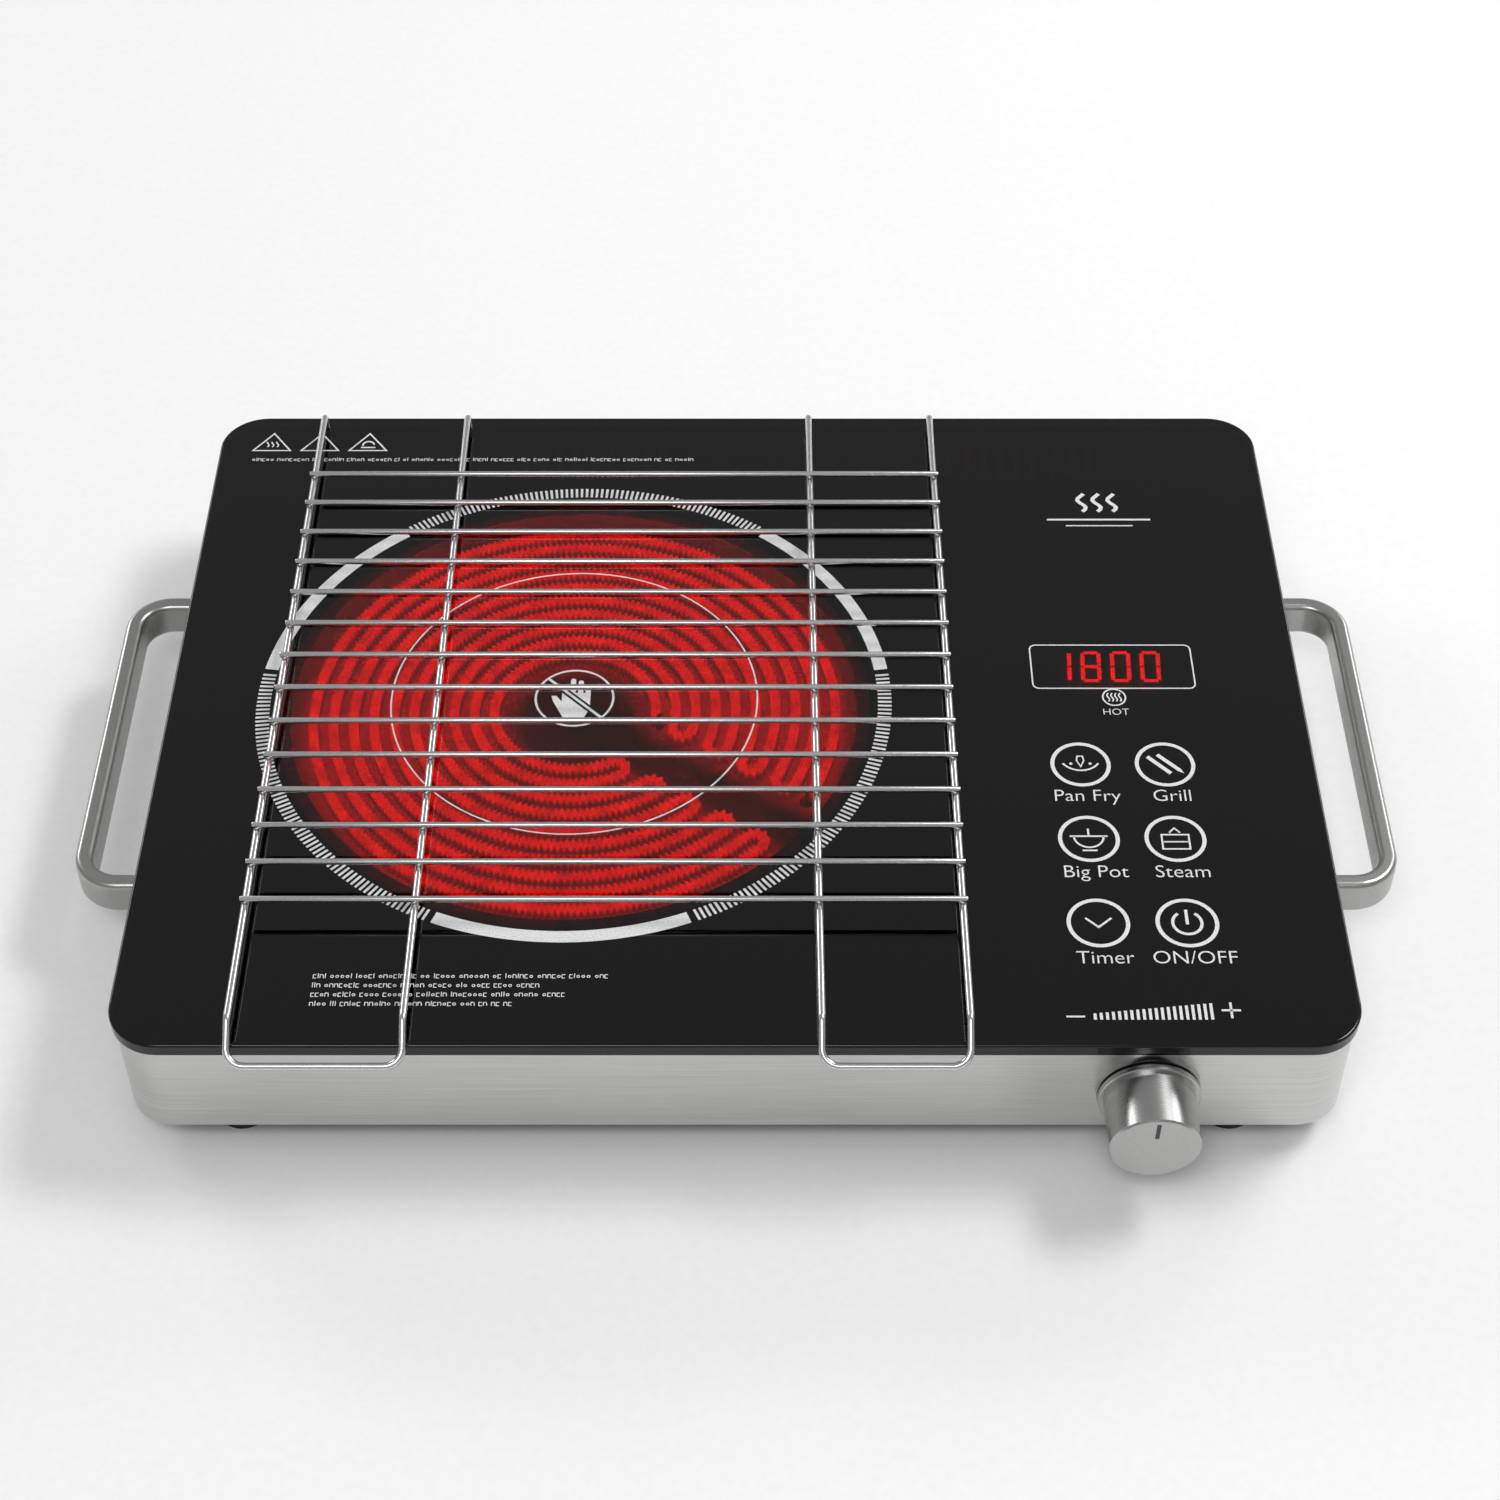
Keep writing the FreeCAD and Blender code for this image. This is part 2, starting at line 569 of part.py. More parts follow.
def build_knob():
    """Collar, encoder with its nut, shaft with a flat, and the turned knob."""
    inner = f"(-{WALL_Y} + sheet_thick)"
    node("knob_bezel", lathe("collar", [
        ("bush_radius + screw_gap", "0"), ("collar_radius", "0"),
        ("collar_radius", "-collar_thick"), ("collar_pocket", "-collar_thick"),
        ("collar_pocket", "-collar_web"), ("bush_radius + screw_gap", "-collar_web"),
    ], "XY_Plane", KNOB_X, f"-{WALL_Y}", KNOB_Z))
    housing = slab(KNOB_X, f"{inner} + encoder_deep/2", f"{KNOB_Z} - encoder_wide/2",
                   "encoder_wide", "encoder_deep", "encoder_wide")
    bush = rod(KNOB_X, f"-{WALL_Y} - bush_long", KNOB_Z, "bush_radius",
               "bush_long + sheet_thick + 1", "y")
    bore = rod(KNOB_X, f"-{WALL_Y} - bush_long - 1", KNOB_Z, "shaft_radius + shaft_gap",
               "bush_long + sheet_thick + encoder_deep - 1", "y")
    node("rotary_encoder", cut(fuse([housing, bush]), [bore]))
    nut_y = f"(-{WALL_Y} - collar_web - nut_thick)"
    node("encoder_nut", cut(hexagon(KNOB_X, nut_y, KNOB_Z, "nut_flats", "nut_thick"), [
        rod(KNOB_X, f"{nut_y} - 1", KNOB_Z, "bush_radius + thread_gap", "nut_thick + 2", "y")]))
    shaft_front = f"({KNOB_FACE} + face_thick)"
    shaft_back = f"({inner} + encoder_deep - 3)"
    shaft = rod(KNOB_X, shaft_front, KNOB_Z, "shaft_radius", f"{shaft_back} - {shaft_front}",
                "y")
    flat = slab(KNOB_X, f"{shaft_front} + 4", f"{KNOB_Z} + shaft_radius - shaft_flat",
                "3*shaft_radius", "12", "shaft_radius")
    node("encoder_shaft", cut(shaft, [flat]))
    pocket = "(collar_pocket - 0.4)"
    pocket_top = f"(-{WALL_Y} - bush_long - 1)"
    bore_radius = "(shaft_radius + shaft_gap)"
    skirt_front = f"({KNOB_BACK} - skirt_thick)"
    node("knob", lathe("knob_turned", [
        (bore_radius, pocket_top), (pocket, pocket_top), (pocket, KNOB_BACK),
        ("skirt_radius - 0.3", KNOB_BACK), ("skirt_radius", f"{KNOB_BACK} - 0.3"),
        ("skirt_radius", f"{skirt_front} + 0.3"), ("skirt_radius - 0.3", skirt_front),
        ("knob_radius", skirt_front), ("knob_radius", f"{KNOB_FACE} + knob_edge"),
        ("knob_radius - knob_edge", KNOB_FACE), ("0", KNOB_FACE),
        ("0", f"{shaft_front} - shaft_gap"), (bore_radius, f"{shaft_front} - shaft_gap"),
    ], "XY_Plane", KNOB_X, "0", KNOB_Z))


# ---------------------------------------------------------------- heater

def ribbon_route():
    """The serpentine's centre line in plan: arcs joined by half turns beside the lane."""
    turns = int(value("ribbon_turns"))
    pitch, lane = value("ribbon_pitch"), math.radians(value("lane_angle"))
    clear = value("lane_half") + pitch / 2
    centre = FreeCAD.Vector(value("heater_x"), 0, 0)

    def spot(radius, angle):
        return centre + FreeCAD.Vector(radius * math.cos(angle), radius * math.sin(angle), 0)

    def open_angle(radius):
        return math.asin(clear / radius)

    radii = [value("ribbon_first") + i * pitch for i in range(turns)]
    edges = []
    entry = lane + open_angle(radii[0])
    for i, radius in enumerate(radii):
        onward = radius + pitch / 2 if i + 1 < turns else radius
        gap = open_angle(onward)
        leave = lane + 2 * math.pi - gap if i % 2 == 0 else lane + gap
        middle = (entry + leave) / 2
        edges.append(Part.Arc(spot(radius, entry), spot(radius, middle), spot(radius, leave)))
        if i + 1 < turns:
            along = 1 if i % 2 == 0 else -1
            bulge = spot(onward, leave) + FreeCAD.Vector(-math.sin(leave), math.cos(leave),
                                                         0) * (along * pitch / 2)
            edges.append(Part.Arc(spot(radius, leave), bulge, spot(radius + pitch, leave)))
        entry = leave
    first = spot(radii[0], lane + open_angle(radii[0]))
    return Part.Wire([edge.toShape() for edge in edges]), first, spot(radii[-1], entry)


def build_heater():
    """Pan, insulation, ribbon element, its leads, the limiter, springs and shield."""
    centre = {"x": "heater_x"}
    pan = lathe("pan_pressed", [
        ("0", "0"), (PAN_RADIUS, "0"), (PAN_RADIUS, "pan_depth"),
        (f"{PAN_RADIUS} - pan_wall", "pan_depth"), (f"{PAN_RADIUS} - pan_wall", "pan_wall"),
        ("0", "pan_wall")], z=PAN_Z, **centre)
    disc_radius = f"({PAN_RADIUS} - pan_wall - insulation_gap)"
    disc = rod("heater_x", "0", f"{PAN_Z} + pan_wall", disc_radius, "insulation_thick")
    rim_inner = f"({disc_radius} - rim_wide)"
    rim_tall = f"({GLASS_UNDER} - {HEARTH_Z})"
    rim = lathe("rim_moulded", [
        (rim_inner, "0"), (disc_radius, "0"), (disc_radius, rim_tall), (rim_inner, rim_tall)],
        z=HEARTH_Z, **centre)

    route, first, last = ribbon_route()
    low = value(HEARTH_Z)
    half, tall = value("ribbon_thick/2"), value("ribbon_height")
    start = route.Edges[0].valueAt(route.Edges[0].FirstParameter)
    outward = (start - FreeCAD.Vector(value("heater_x"), 0, 0)).normalize()
    outline = [start + outward * side + FreeCAD.Vector(0, 0, rise)
               for side, rise in ((-half, 0), (half, 0), (half, tall), (-half, tall))]
    section = Part.makePolygon(outline + outline[:1])
    ribbon = route.makePipeShell([section], True, False)
    ribbon.translate(FreeCAD.Vector(0, 0, low))
    solid_node("heater_element", ribbon)

    heater = FreeCAD.Vector(value("heater_x"), 0, 0)
    beside = value("ribbon_thick/2 + lead_radius + thread_gap")
    leads, bushings, holes = [], [], []
    for end, inward in ((first, 1), (last, -1)):
        seat = end + (end - heater).normalize() * (beside * inward)
        foot = value(f"{PAN_Z} - lead_below")
        lead = Part.makeCylinder(value("lead_radius"), low + tall - 1 - foot,
                                 FreeCAD.Vector(seat.x, seat.y, foot))
        sleeve_low = value(f"{PAN_Z} - 2")
        sleeve = Part.makeCylinder(value("bushing_radius"), low - sleeve_low,
                                   FreeCAD.Vector(seat.x, seat.y, sleeve_low))
        bore = Part.makeCylinder(value("lead_radius + thread_gap"), tall + low,
                                 FreeCAD.Vector(seat.x, seat.y, sleeve_low - 1))
        leads.append(lead)
        bushings.append(sleeve.cut(bore))
        holes.append(Part.makeCylinder(value("bushing_radius + thread_gap"), tall + low,
                                       FreeCAD.Vector(seat.x, seat.y, sleeve_low - 1)))
    solid_node("element_leads", Part.makeCompound(leads))
    solid_node("lead_bushings", Part.makeCompound(bushings))
    passages = doc.addObject("Part::Feature", "lead_passages")
    passages.Shape = Part.makeCompound(holes)

    # The limiter's rod lies along the lane that the ribbon leaves free.
    lane = FreeCAD.Rotation(FreeCAD.Vector(0, 0, 1), value("lane_angle"))
    rod_z = f"({HEARTH_Z} + limiter_radius + 0.4)"
    rod_end = f"({PAN_RADIUS} + 0.3 + limiter_switch_long)"

    def in_lane(items):
        return group(items, lane, "heater_x")

    slot_for_rod = in_lane([rod(f"{PAN_RADIUS} - rim_wide - 4", "0", rod_z,
                                "limiter_radius + 0.2", "12", "x")])
    node("heater_pan", cut(pan, [passages, slot_for_rod]))
    node("heater_insulation_base", cut(disc, [passages]))
    node("heater_insulation_ring", cut(rim, [slot_for_rod]))
    node("limiter_rod", in_lane([rod("6", "0", rod_z, "limiter_radius", f"{rod_end} - 8",
                                     "x")]))
    switch = box(f"{PAN_RADIUS} + 0.3", "-limiter_switch_wide/2",
                 f"{rod_z} - limiter_switch_tall/2", "limiter_switch_long",
                 "limiter_switch_wide", "limiter_switch_tall")
    seat = rod(PAN_RADIUS, "0", rod_z, "limiter_radius + thread_gap",
               "limiter_switch_long", "x")
    node("limiter_switch", in_lane([cut(switch, [seat])]))

    spring_spots = [(f"heater_x + spring_ring*cos({a})", f"spring_ring*sin({a})")
                    for a in (60, 180, 300)]
    node("heater_springs", group([
        coil(f"pan_spring_{i}", "spring_radius", "spring_wire", f"{PAN_Z} - {FLOOR}", 4, x, y,
             FLOOR) for i, (x, y) in enumerate(spring_spots)]))
    node("spring_posts", group([rod(x, y, FLOOR, "post_radius", "post_height")
                                for x, y in spring_spots]))
    upright = slab(f"{SHIELD_X} + shield_thick/2", "0", FLOOR, "shield_thick", "shield_long",
                   "case_height - 2*sheet_thick")
    foot = slab(f"{SHIELD_X} + shield_foot/2", "0", FLOOR, "shield_foot", "shield_long",
                "shield_thick")
    wire_gate = slab(SHIELD_X, "-46", f"{FLOOR} + 1", "4*shield_thick", "22", "10")
    node("heat_shield", cut(fuse([upright, foot]), [wire_gate]))
    return first, last


# ---------------------------------------------------------------- electronics

def standoff(x, y, height):
    """A moulded post for a board, with its screw hole."""
    return cut(rod(x, y, FLOOR, "post_boss", height), [
        rod(x, y, f"{FLOOR} + 1", THREAD_HOLE, height)])


def build_control_board():
    """The upper board with display, keys, indicator, buzzer and processor."""
    seats = corners("board_x", "board_y", "board_length - 2*board_screw_inset",
                    "board_width - 2*board_screw_inset")
    seats += [(x, "board_y") for x in ("board_x - board_length/2 + board_screw_inset",
                                       "board_x + board_length/2 - board_screw_inset")]
    board = slab("board_x", "board_y", BOARD_Z, "board_length", "board_width", "board_thick")
    holes = [rod(x, y, f"{BOARD_Z} - 1", SCREW_HOLE, "board_thick + 2") for x, y in seats]
    node("control_board", cut(board, holes))
    node("control_standoffs", group([standoff(x, y, f"{BOARD_Z} - {FLOOR}")
                                     for x, y in seats]))
    springs = []
    for i in range(2):
        for j in range(3):
            springs.append(coil(f"key_spring_{i}_{j}", "key_spring", "key_wire",
                                f"{GLASS_UNDER} - {BOARD_TOP}", 5, f"key_x + {i}*key_step_x",
                                f"key_y - {j}*key_step_y", BOARD_TOP))
    node("touch_springs", group(springs))
    node("display_module", slab("display_x", "display_y", BOARD_TOP, "display_length",
                                "display_width", "display_tall"))
    node("hot_indicator", rod("display_x", "hot_y", BOARD_TOP, "2.5", "4"))
    node("buzzer", cut(rod("board_x - 37", "board_y - 62", BOARD_TOP, "6", "7"), [
        rod("board_x - 37", "board_y - 62", f"{BOARD_TOP} + 5", "1", "3")]))
    node("microcontroller", slab("board_x - 32", "board_y", BOARD_TOP, "12", "12", "1.6"))
    return seats


def build_power_board():
    """The lower board with the parts that switch the heater."""
    seats = corners("power_x", "power_y", "power_length - 2*board_screw_inset",
                    "power_width - 2*board_screw_inset")
    board = slab("power_x", "power_y", POWER_Z, "power_length", "power_width", "board_thick")
    holes = [rod(x, y, f"{POWER_Z} - 1", SCREW_HOLE, "board_thick + 2") for x, y in seats]
    node("power_board", cut(board, holes))
    node("power_standoffs", group([standoff(x, y, "power_stand") for x, y in seats]))
    node("relay", slab("power_x - 24", "power_y - 34", POWER_TOP, "20", "16", "part_tall"))
    core = slab("power_x + 3", "power_y - 34", POWER_TOP, "22", "20", "part_tall")
    windows = [slab(f"power_x + 3 + {i}*7", "power_y - 34", f"{POWER_TOP} + 3", "3", "22", "7")
               for i in (-1, 1)]
    node("transformer", cut(core, windows))
    node("filter_capacitor", slab("power_x + 27", "power_y - 30", POWER_TOP, "12", "26",
                                  "part_tall - 1"))
    back = slab("power_x", "power_y + 25", POWER_TOP, "44", "3", "part_tall")
    fins = [slab(f"power_x + {i}*7", "power_y + 35", POWER_TOP, "1.4", "18", "part_tall")
            for i in range(-3, 4)]
    node("heatsink", fuse([back] + fins))
    node("triac", slab("power_x", "power_y + 21.2", POWER_TOP, "10", "4.5", "part_tall - 1"))
    node("fuse", rod("power_x + 14", "power_y", f"{POWER_TOP} + 2.6", "2.6", "20", "x"))
    node("board_link", slab("power_x + 38", "power_y - 13", POWER_TOP, "1.2", "14",
                            f"{BOARD_Z} - {POWER_TOP}"))
    return seats


def build_board_screws(upper, lower):
    """The screws of both boards, heads up."""
    screws = []
    for seats, top in ((upper, BOARD_TOP), (lower, POWER_TOP)):
        for x, y in seats:
            screws.append(screw(x, y, top, "screw_radius", "board_thick + 3.6", "screw_head",
                                "head_thick", up=False))
    node("board_screws", group(screws))


def build_fan():
    """The cooling fan: square frame with stator, and the impeller that turns in it."""
    seats = corners("fan_x", "fan_y", "fan_screw_pitch", "fan_screw_pitch")
    block = slab("fan_x", "fan_y", FLOOR, "fan_size", "fan_size", "fan_tall")
    bore = rod("fan_x", "fan_y", f"{FLOOR} - 1", "fan_bore", "fan_tall + 2")
    frame = cut(block, [bore])
    stator = rod("fan_x", "fan_y", FLOOR, "stator_radius", "fan_tall - 5")
    spokes = [slab("fan_x", "fan_y", FLOOR, "2*fan_bore + 2", "spoke_wide", "spoke_tall"),
              slab("fan_x", "fan_y", FLOOR, "spoke_wide", "2*fan_bore + 2", "spoke_tall")]
    pivot = rod("fan_x", "fan_y", f"{FLOOR} + 2", "pivot_radius + shaft_gap", "fan_tall")
    holes = [rod(x, y, f"{FLOOR} - 1", SCREW_HOLE, "fan_tall + 2") for x, y in seats]
    node("fan_frame", cut(fuse([frame, stator] + spokes), [pivot] + holes))
    node("fan_screws", group([
        screw(x, y, f"{FLOOR} + fan_tall", "screw_radius", "fan_tall + base_thick",
              "screw_head", "head_thick", up=False) for x, y in seats]))

    cup_low, cup_top = "(spoke_tall + 0.8)", "(fan_tall - 0.5)"
    web = f"({cup_top} - 2)"
    cup = lathe("hub_moulded", [
        ("0", "2.4"), ("pivot_radius", "2.4"), ("pivot_radius", web),
        ("fan_hub - hub_wall", web), ("fan_hub - hub_wall", cup_low), ("fan_hub", cup_low),
        ("fan_hub", cup_top), ("0", cup_top)], x="fan_x", y="fan_y", z=FLOOR)
    tip = "(fan_bore - fan_tip_gap)"
    sweep = lathe("blade_sweep", [
        ("fan_hub - 0.6", cup_low), (tip, cup_low), (tip, cup_top), ("fan_hub - 0.6", cup_top)],
        x="fan_x", y="fan_y", z=FLOOR)
    count = int(value("blade_count"))
    tilt = FreeCAD.Rotation(FreeCAD.Vector(1, 0, 0), 90 - value("blade_tilt"))
    blades = []
    for i in range(count):
        flat = box("fan_hub - 1", "-blade_chord", "-blade_thick/2", "fan_bore", "2*blade_chord",
                   "blade_thick")
        tilted = group([flat], tilt)
        blades.append(group([tilted], FreeCAD.Rotation(FreeCAD.Vector(0, 0, 1),
                                                       360 * i / count),
                            "fan_x", "fan_y", f"{FLOOR} + ({cup_low} + {cup_top})/2"))
    trimmed = [common(blade, sweep) for blade in blades]
    node("fan_impeller", fuse([cup] + trimmed))


def build_inlet():
    """The cord gland in the rear wall, its nut, and the terminal block."""
    outer = "(glass_width/2 + gland_reach)"
    inner = f"({WALL_Y} - sheet_thick - gland_inside)"
    node("cord_gland", lathe("gland_moulded", [
        ("gland_bore", inner), ("gland_radius", inner), ("gland_radius", WALL_Y),
        ("gland_head", WALL_Y), ("gland_head", f"{outer} - 2"),
        ("gland_head - 2", outer), ("gland_bore", outer),
    ], "XY_Plane", "gland_x", "0", GLAND_Z))
    nut_y = f"({WALL_Y} - sheet_thick - gland_nut)"
    node("gland_nut", cut(hexagon("gland_x", nut_y, GLAND_Z, "2.6*gland_radius", "gland_nut"), [
        rod("gland_x", f"{nut_y} - 1", GLAND_Z, "gland_radius + thread_gap", "gland_nut + 2",
            "y")]))
    block = slab("gland_x + 3", "fan_y - 2", FLOOR, "24", "26", "13")
    pits = [rod(f"gland_x + 3 + {i}*7", "fan_y - 2", f"{FLOOR} + 8", "2.4", "6")
            for i in (-1, 0, 1)]
    node("mains_terminal_block", cut(block, pits))


def build_wiring(first, last):
    """The short leads between heater, boards, fan and terminal block."""
    thick = value("wire_radius")
    heater_wires = []
    for end, side, y, via in ((first, 1, "-43.5", [(f"{SHIELD_X} - 17", "-20")]),
                              (last, -1, "-50.5", [])):
        heater = FreeCAD.Vector(value("heater_x"), 0, 0)
        beside = value("ribbon_thick/2 + lead_radius + thread_gap")
        seat = end + (end - heater).normalize() * (beside * side)
        low = f"{FLOOR} + 4.5"
        over = f"{POWER_TOP} + 3.4"
        edge = "power_x - power_length/2"
        route = spots((seat.x, seat.y, f"{PAN_Z} - lead_below - 0.2"), (seat.x, seat.y, low),
                      *[(x, turn_y, low) for x, turn_y in via],
                      (f"{SHIELD_X} - 9", y, low), (f"{edge} - 5", y, low),
                      (f"{edge} - 2", y, over), (f"{edge} + 5", y, over),
                      (f"{edge} + 5", y, f"{POWER_TOP} + 0.2"))
        heater_wires.append(bent_wire(route, [1.4] + [2] * (len(route) - 4) + [1.4], thick))
    solid_node("heater_wires", Part.makeCompound(heater_wires))

    rear = "(power_y + power_width/2)"
    level, over = f"{FLOOR} + 6.5", f"{POWER_TOP} + 3"
    mains = []
    for i, (x, end_x) in enumerate((("gland_x - 2", "power_x + 26"),
                                    ("gland_x + 4", "power_x + 31.5"))):
        route = spots((x, "fan_y - 15.2", level), (x, f"fan_y - 32 - {2*i}", level),
                      (end_x, f"{rear} + 15", over), (end_x, f"{rear} - 6", over),
                      (end_x, f"{rear} - 6", f"{POWER_TOP} + 0.2"))
        mains.append(bent_wire(route, [4, 4, 1.4], thick))
    solid_node("mains_wires", Part.makeCompound(mains))

    x = "fan_x - 12"
    route = spots((x, "fan_y - fan_size/2 - 0.2", f"{FLOOR} + 4"), (x, f"{rear} + 15",
                                                                     f"{FLOOR} + 4"),
                  (x, f"{rear} + 6", over), (x, f"{rear} - 5", over),
                  (x, f"{rear} - 5", f"{POWER_TOP} + 0.2"))
    solid_node("fan_lead", bent_wire(route, [3, 3, 1.4], thick))


# ---------------------------------------------------------------- grill rack

def build_loop(name, middle, wide):
    """One long wire loop: two rear feet, two runs, and a hooked front."""
    sides = [f"({middle} - ({wide})/2)", f"({middle} + ({wide})/2)"]
    back = "(glass_width/2 - rack_back)"
    bend = "(-glass_width/2 + rack_bend)"
    front = "(-glass_width/2 - rack_front)"
    run_z = f"({GLASS_TOP} + rack_lift)"
    hook_z = f"({GLASS_TOP} - rack_hook)"
    half = [(back, GLASS_TOP), (back, run_z), (bend, run_z), (front, hook_z)]
    rows = [(sides[0], y, z) for y, z in half] + [(sides[1], y, z) for y, z in reversed(half)]
    foot, corner = value("rack_foot_bend"), value("rack_corner")
    wire = bent_wire(spots(*rows), [foot, foot, corner, corner, foot, foot],
                     value("rack_wire"))
    solid_node(name, wire)


def build_rack():
    """Both loops and the cross wires welded on top of them."""
    build_loop("rack_loop_left", "loop_left_x", "loop_left_wide")
    build_loop("rack_loop_right", "loop_right_x", "loop_right_wide")
    left = "(loop_left_x - loop_left_wide/2 - cross_past)"
    right = "(loop_right_x + loop_right_wide/2 + cross_past)"
    height = f"({GLASS_TOP} + rack_lift + rack_wire + cross_wire - weld_bite)"
    count = int(value("cross_count"))
    step = "((cross_last - cross_first)/(cross_count - 1))"
    node("rack_cross_wires", group([
        rod(left, f"cross_first + {i}*{step}", height, "cross_wire", f"{right} - {left}", "x")
        for i in range(count)]))


build_glass()
build_case()
build_base()
build_handles()
build_knob()
ribbon_start, ribbon_end = build_heater()
upper_seats = build_control_board()
lower_seats = build_power_board()
build_board_screws(upper_seats, lower_seats)
build_fan()
build_inlet()
build_wiring(ribbon_start, ribbon_end)
build_rack()
doc.recompute()

faults = [f"{item.Name}: {item.State}" for item in doc.Objects
          if "Invalid" in item.State or "Error" in item.State]
faults += [item.Label for item in nodes if item.Shape.isNull() or not item.Shape.isValid()]
if faults:
    raise SystemExit("failed: " + "; ".join(faults))

os.makedirs("parts", exist_ok=True)
for item in nodes:
    item.Shape.exportStep(f"parts/{item.Label}.step")
whole = Part.makeCompound([item.Shape for item in nodes]).BoundBox
print(f"{len(nodes)} nodes, box {whole.XMin:.2f} {whole.YMin:.2f} {whole.ZMin:.2f} to "
      f"{whole.XMax:.2f} {whole.YMax:.2f} {whole.ZMax:.2f}")
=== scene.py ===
"""Looks of a tabletop radiant cooking plate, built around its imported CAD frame."""

import logging
import math
import random
from dataclasses import dataclass, field
from enum import Enum
from typing import Any, Iterable, Sequence

import bmesh
import bpy
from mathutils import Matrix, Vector


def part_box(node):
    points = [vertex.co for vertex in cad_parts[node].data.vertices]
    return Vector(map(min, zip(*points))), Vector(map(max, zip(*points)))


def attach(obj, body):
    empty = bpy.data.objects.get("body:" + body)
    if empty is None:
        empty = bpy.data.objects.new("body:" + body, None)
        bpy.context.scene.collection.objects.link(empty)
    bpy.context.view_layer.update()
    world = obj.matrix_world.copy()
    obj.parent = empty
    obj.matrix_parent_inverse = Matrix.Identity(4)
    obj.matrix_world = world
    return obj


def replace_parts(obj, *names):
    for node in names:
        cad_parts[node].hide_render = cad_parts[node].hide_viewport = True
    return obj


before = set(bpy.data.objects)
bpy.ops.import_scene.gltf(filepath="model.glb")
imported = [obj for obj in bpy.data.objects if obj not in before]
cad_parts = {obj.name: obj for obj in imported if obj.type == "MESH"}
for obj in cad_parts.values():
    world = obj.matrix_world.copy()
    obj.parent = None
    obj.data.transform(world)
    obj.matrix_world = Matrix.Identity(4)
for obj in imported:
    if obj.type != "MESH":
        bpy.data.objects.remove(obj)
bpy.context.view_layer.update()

MM = 0.001
PRINT_RISE = 0.004 * MM
LOG = logging.getLogger("cooking_plate")

Point = tuple[float, float]
Triple = tuple[float, float, float]
Stops = Sequence[tuple[float, Any]]


def srgb(code: str) -> tuple[float, float, float, float]:
    """Turns a hexadecimal sRGB colour into linear red, green, blue and alpha.

    Args:
        code: Six hexadecimal digits, with or without a leading hash.

    Returns:
        The linear colour with an alpha of one.
    """
    digits = code.lstrip("#")
    channels = [int(digits[i:i + 2], 16) / 255 for i in (0, 2, 4)]
    linear = [c / 12.92 if c <= 0.04045 else ((c + 0.055) / 1.055) ** 2.4 for c in channels]
    return linear[0], linear[1], linear[2], 1.0


def add_node(tree: bpy.types.NodeTree, kind: str, inputs: dict | None = None,
             stops: Stops = (), **settings: Any) -> bpy.types.Node:
    """Adds a node, sets its properties and fills or links its inputs.

    Args:
        tree: The node tree that gets the node.
        kind: The node's type after the words ShaderNode.
        inputs: Input names or numbers, each with a value, an output socket, or a node whose
            first output is meant.
        stops: A colour ramp's positions from 0 to 1, each with a hexadecimal colour or a grey.
        settings: Properties of the node itself.

    Returns:
        The new node.
    """
    node = tree.nodes.new("ShaderNode" + kind)
    for name, setting in settings.items():
        setattr(node, name, setting)
    for key, filling in (inputs or {}).items():
        if isinstance(filling, bpy.types.Node):
            filling = filling.outputs[0]
        if isinstance(filling, bpy.types.NodeSocket):
            tree.links.new(filling, node.inputs[key])
        else:
            node.inputs[key].default_value = filling
    for i, (position, colour) in enumerate(stops):
        elements = node.color_ramp.elements
        element = elements[i] if i < len(elements) else elements.new(position)
        element.position = position
        element.color = srgb(colour) if isinstance(colour, str) else (colour,) * 3 + (1.0,)
    return node


def place_in(tree: bpy.types.NodeTree, origin: Sequence[float] = (0, 0, 0), turn: float = 0.0,
             grain: Sequence[float] = (1, 1, 1)) -> bpy.types.NodeSocket:
    """Gives object coordinates counted from a point, turned about Z and scaled.

    Args:
        tree: The node tree.
        origin: The point that becomes zero, in metres.
        turn: The turn about Z, in degrees.
        grain: Size of one pattern cell along each axis, in millimetres.

    Returns:
        The vector socket.
    """
    coords = add_node(tree, "TexCoord").outputs["Object"]
    moved = add_node(tree, "VectorMath", {0: coords, 1: origin}, operation="SUBTRACT")
    scale = [1 / (MM * size) for size in grain]
    return add_node(tree, "Mapping", {
        "Vector": moved, "Rotation": (0, 0, math.radians(turn)), "Scale": scale}).outputs[0]


class Brushing(Enum):
    """Which way the grinding belt or the lathe tool ran over a metal."""

    LEVEL = "level"
    ROUND_Y = "round_y"
    NONE = "none"


@dataclass(frozen=True)
class Finish:
    """A surface finish that can be made into a node material.

    Attributes:
        name: The material's name.
    """

    name: str

    def material(self) -> bpy.types.Material:
        """Returns the finish's material, which is made on first use."""
        known = bpy.data.materials.get(self.name)
        if known:
            return known
        made = bpy.data.materials.new(self.name)
        made.use_nodes = True
        tree = made.node_tree
        tree.nodes.clear()
        shader = add_node(tree, "BsdfPrincipled", self.dress(tree))
        add_node(tree, "OutputMaterial", {"Surface": shader})
        return made

    def dress(self, tree: bpy.types.NodeTree) -> dict[str, Any]:
        """Draws the finish's patterns. Each finish has its own.

        Args:
            tree: The material's node tree.

        Returns:
            What goes into the inputs of the principled shader.
        """
        raise NotImplementedError


